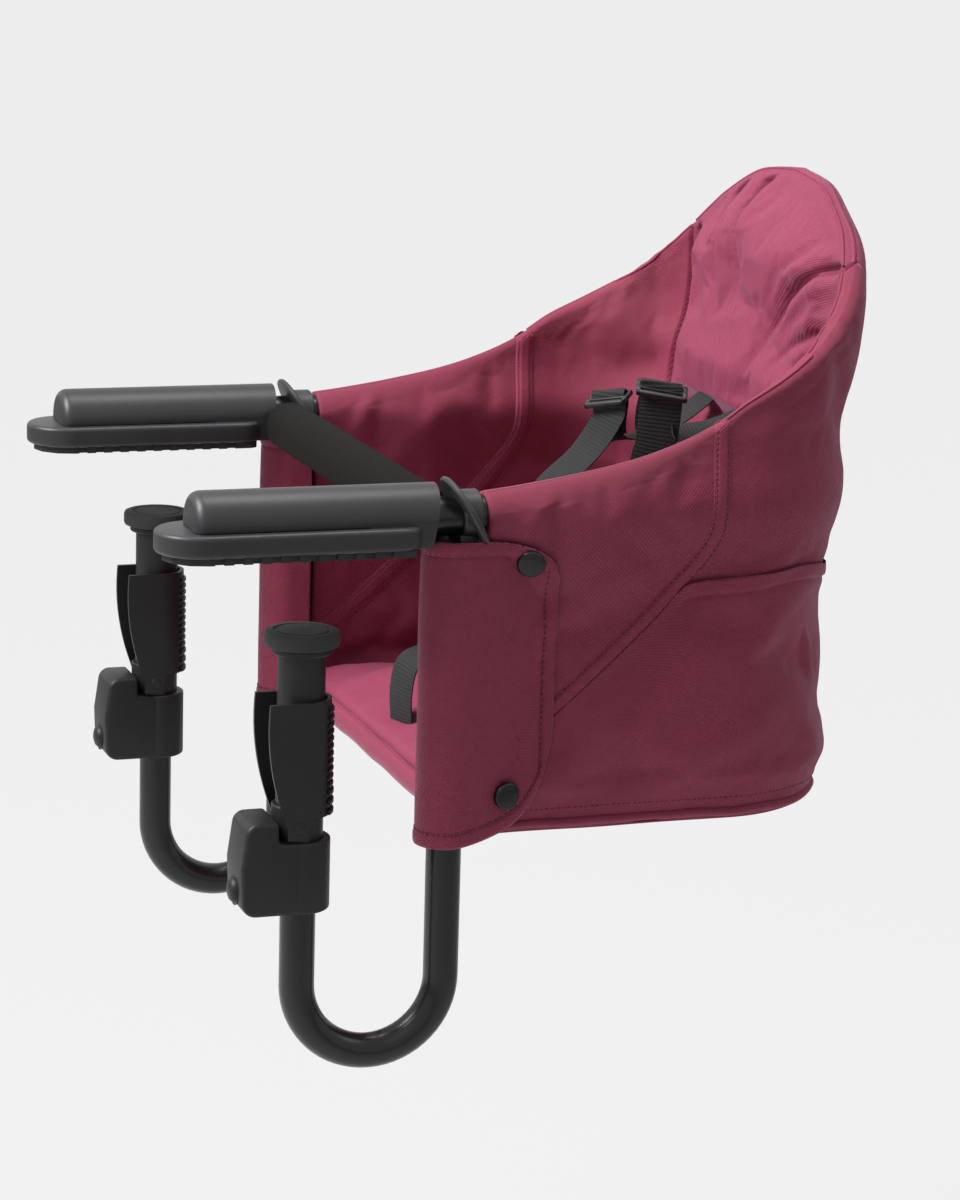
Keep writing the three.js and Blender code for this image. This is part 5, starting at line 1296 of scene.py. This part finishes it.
def waist_strap():
    return webbing([(131, 248, -112), (CORNER_X, 172, -110), (50, 104, -95), (22, 65, -84)], Z)


def crotch_strap():
    return webbing([(0, 40, -150), (0, 39, -124), (0, 44, -106), (0, 60, -98)], Vector((0.97, 0.24, 0)), steps=40)


def buckle():
    """A rounded body, and a ring round its button."""
    shape = block(oblong(-20, -100, 20, -64), 55, 69, "y", 2.2, 4, {0: 7, 1: 7, 2: 7, 3: 7})
    ring = turned([(8.3, -7.4), (9.6, -7.4), (9.6, -6.8), (8.3, -6.8), (8.3, -7.4)], Y, BUCKLE_AT)
    return joined(shape, ring)


def buckle_button():
    return turned([(0, -8.5), (5.5, -8.3), (7.4, -7.6), (8, -6.6), (8, -2), (0, -2)], Y, BUCKLE_AT)


for label, shoulder in SHOULDERS.items():
    strap = finished(shoulder.strap(), f"shoulder_webbing_{label}", None, "webbing", [f"shoulder_strap_{label}"])
    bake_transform(strap)
    finished(shoulder.slide_bars(), f"strap_slide_{label}", "backrest", "moulding", [f"strap_adjuster_{label}"])
both_sides(waist_strap, "waist_webbing", "frame", "webbing", "waist_strap")
finished(crotch_strap(), "crotch_webbing", "frame", "webbing", ["crotch_strap"])
finished(buckle(), "buckle_moulding", "frame", "moulding", ["buckle_body"], sharp=32)
finished(buckle_button(), "buckle_press_cap", "buckle_button", "clamp", ["buckle_button"])


# Other nodes keep their shape and take a finish
for slot in frame["record"]["subparts"]:
    node = frame["nodes"][slot["node"]]
    node.data.materials.clear()
    node.data.materials.append(FINISHES[slot["material_slot"]])


# Studio: floor, backdrop, lamps and camera

BACKGROUND = (0.876, 0.876, 0.876, 1)
FLOOR_Z, FLOOR_HALF = -0.62, 28
# Each lamp's place and aim, its width in metres and its power in watts
LAMPS = {
    "front": ((-0.05, -1.6, 1.6), (0, 0.15, 0.05), 1.3, 95),
    "side": ((2.0, -0.6, 1.6), (0, 0.1, -0.05), 1.4, 2.5),
    "overhead": ((-0.15, 0.25, 2.1), (0, 0.1, 0), 1.0, 20),
    "behind": ((0.7, 1.7, 1.6), (0, 0.1, 0), 1.2, 6),
}
VIEW_AZIMUTH, VIEW_ELEVATION, VIEW_ROLL = (math.radians(angle) for angle in (71.06, 12.68, 1.59))
VIEW_TARGET, VIEW_DISTANCE = Vector((-0.7, 87.98, -70.51)) * MM, 2.16503
FOCAL_PIXELS, FRAME_PIXELS, SENSOR = 3577.18, 1200, 36


def pale_floor():
    floor = bmesh.new()
    bmesh.ops.create_grid(floor, x_segments=1, y_segments=1, size=FLOOR_HALF)
    mesh = mesh_of(moved(floor, (0, 0, FLOOR_Z)), "floor")
    plain = Finish("pale_floor", Base_Color=(0.80, 0.80, 0.80, 1), Roughness=0.9)
    seen = plain.node("LightPath", output="Is Camera Ray") * 0.96
    glow = plain.node("Emission", {"Color": BACKGROUND})
    mixed = plain.node("MixShader", {0: seen, 1: Value(plain, plain.shader.outputs[0]), 2: glow})
    plain.fill(plain.tree.nodes["Material Output"].inputs["Surface"], mixed)
    mesh.materials.append(plain.material)
    placed("floor", mesh)


def studio_light():
    world = bpy.data.worlds.new("studio")
    bpy.context.scene.world = world
    sky = Recipe(world)
    path = [sky.node("LightPath", output=ray) for ray in ("Is Camera Ray", "Is Glossy Ray")]
    lit = sky.node("Background", {"Color": (0.97, 0.98, 1.0, 1), "Strength": 0.125})
    seen = sky.node("Background", {"Color": BACKGROUND})
    mixed = sky.node("MixShader", {0: path[0].math("MAXIMUM", *path), 1: lit, 2: seen})
    sky.fill(sky.tree.nodes["World Output"].inputs["Surface"], mixed)
    for name, (place, aim, size, power) in LAMPS.items():
        lamp = bpy.data.lights.new(name, "AREA")
        lamp.shape, lamp.size, lamp.energy = "DISK", size, power
        light = placed(name, lamp)
        light.location = place
        light.rotation_euler = (Vector(aim) - Vector(place)).to_track_quat("-Z", "Y").to_euler()


def photograph():
    """Sets the camera where the photo was taken from."""
    level_way = math.cos(VIEW_ELEVATION)
    back_way = Vector((math.sin(VIEW_AZIMUTH) * level_way, -math.cos(VIEW_AZIMUTH) * level_way,
                       math.sin(VIEW_ELEVATION)))
    right = (-back_way).cross(Z).normalized()
    up = right.cross(-back_way)
    level = right * math.cos(VIEW_ROLL) + up * math.sin(VIEW_ROLL)
    upright = up * math.cos(VIEW_ROLL) - right * math.sin(VIEW_ROLL)
    turn = Matrix((level, upright, back_way)).transposed().to_4x4()
    camera = placed("camera", bpy.data.cameras.new("camera"))
    camera.matrix_world = Matrix.Translation(VIEW_TARGET + back_way * VIEW_DISTANCE) @ turn
    camera.data.sensor_fit = "VERTICAL"
    camera.data.sensor_height = SENSOR
    camera.data.lens = FOCAL_PIXELS / FRAME_PIXELS * SENSOR
    camera.data.clip_end = 60
    bpy.context.scene.camera = camera


pale_floor()
studio_light()
photograph()
bpy.context.scene.view_settings.view_transform = "Standard"
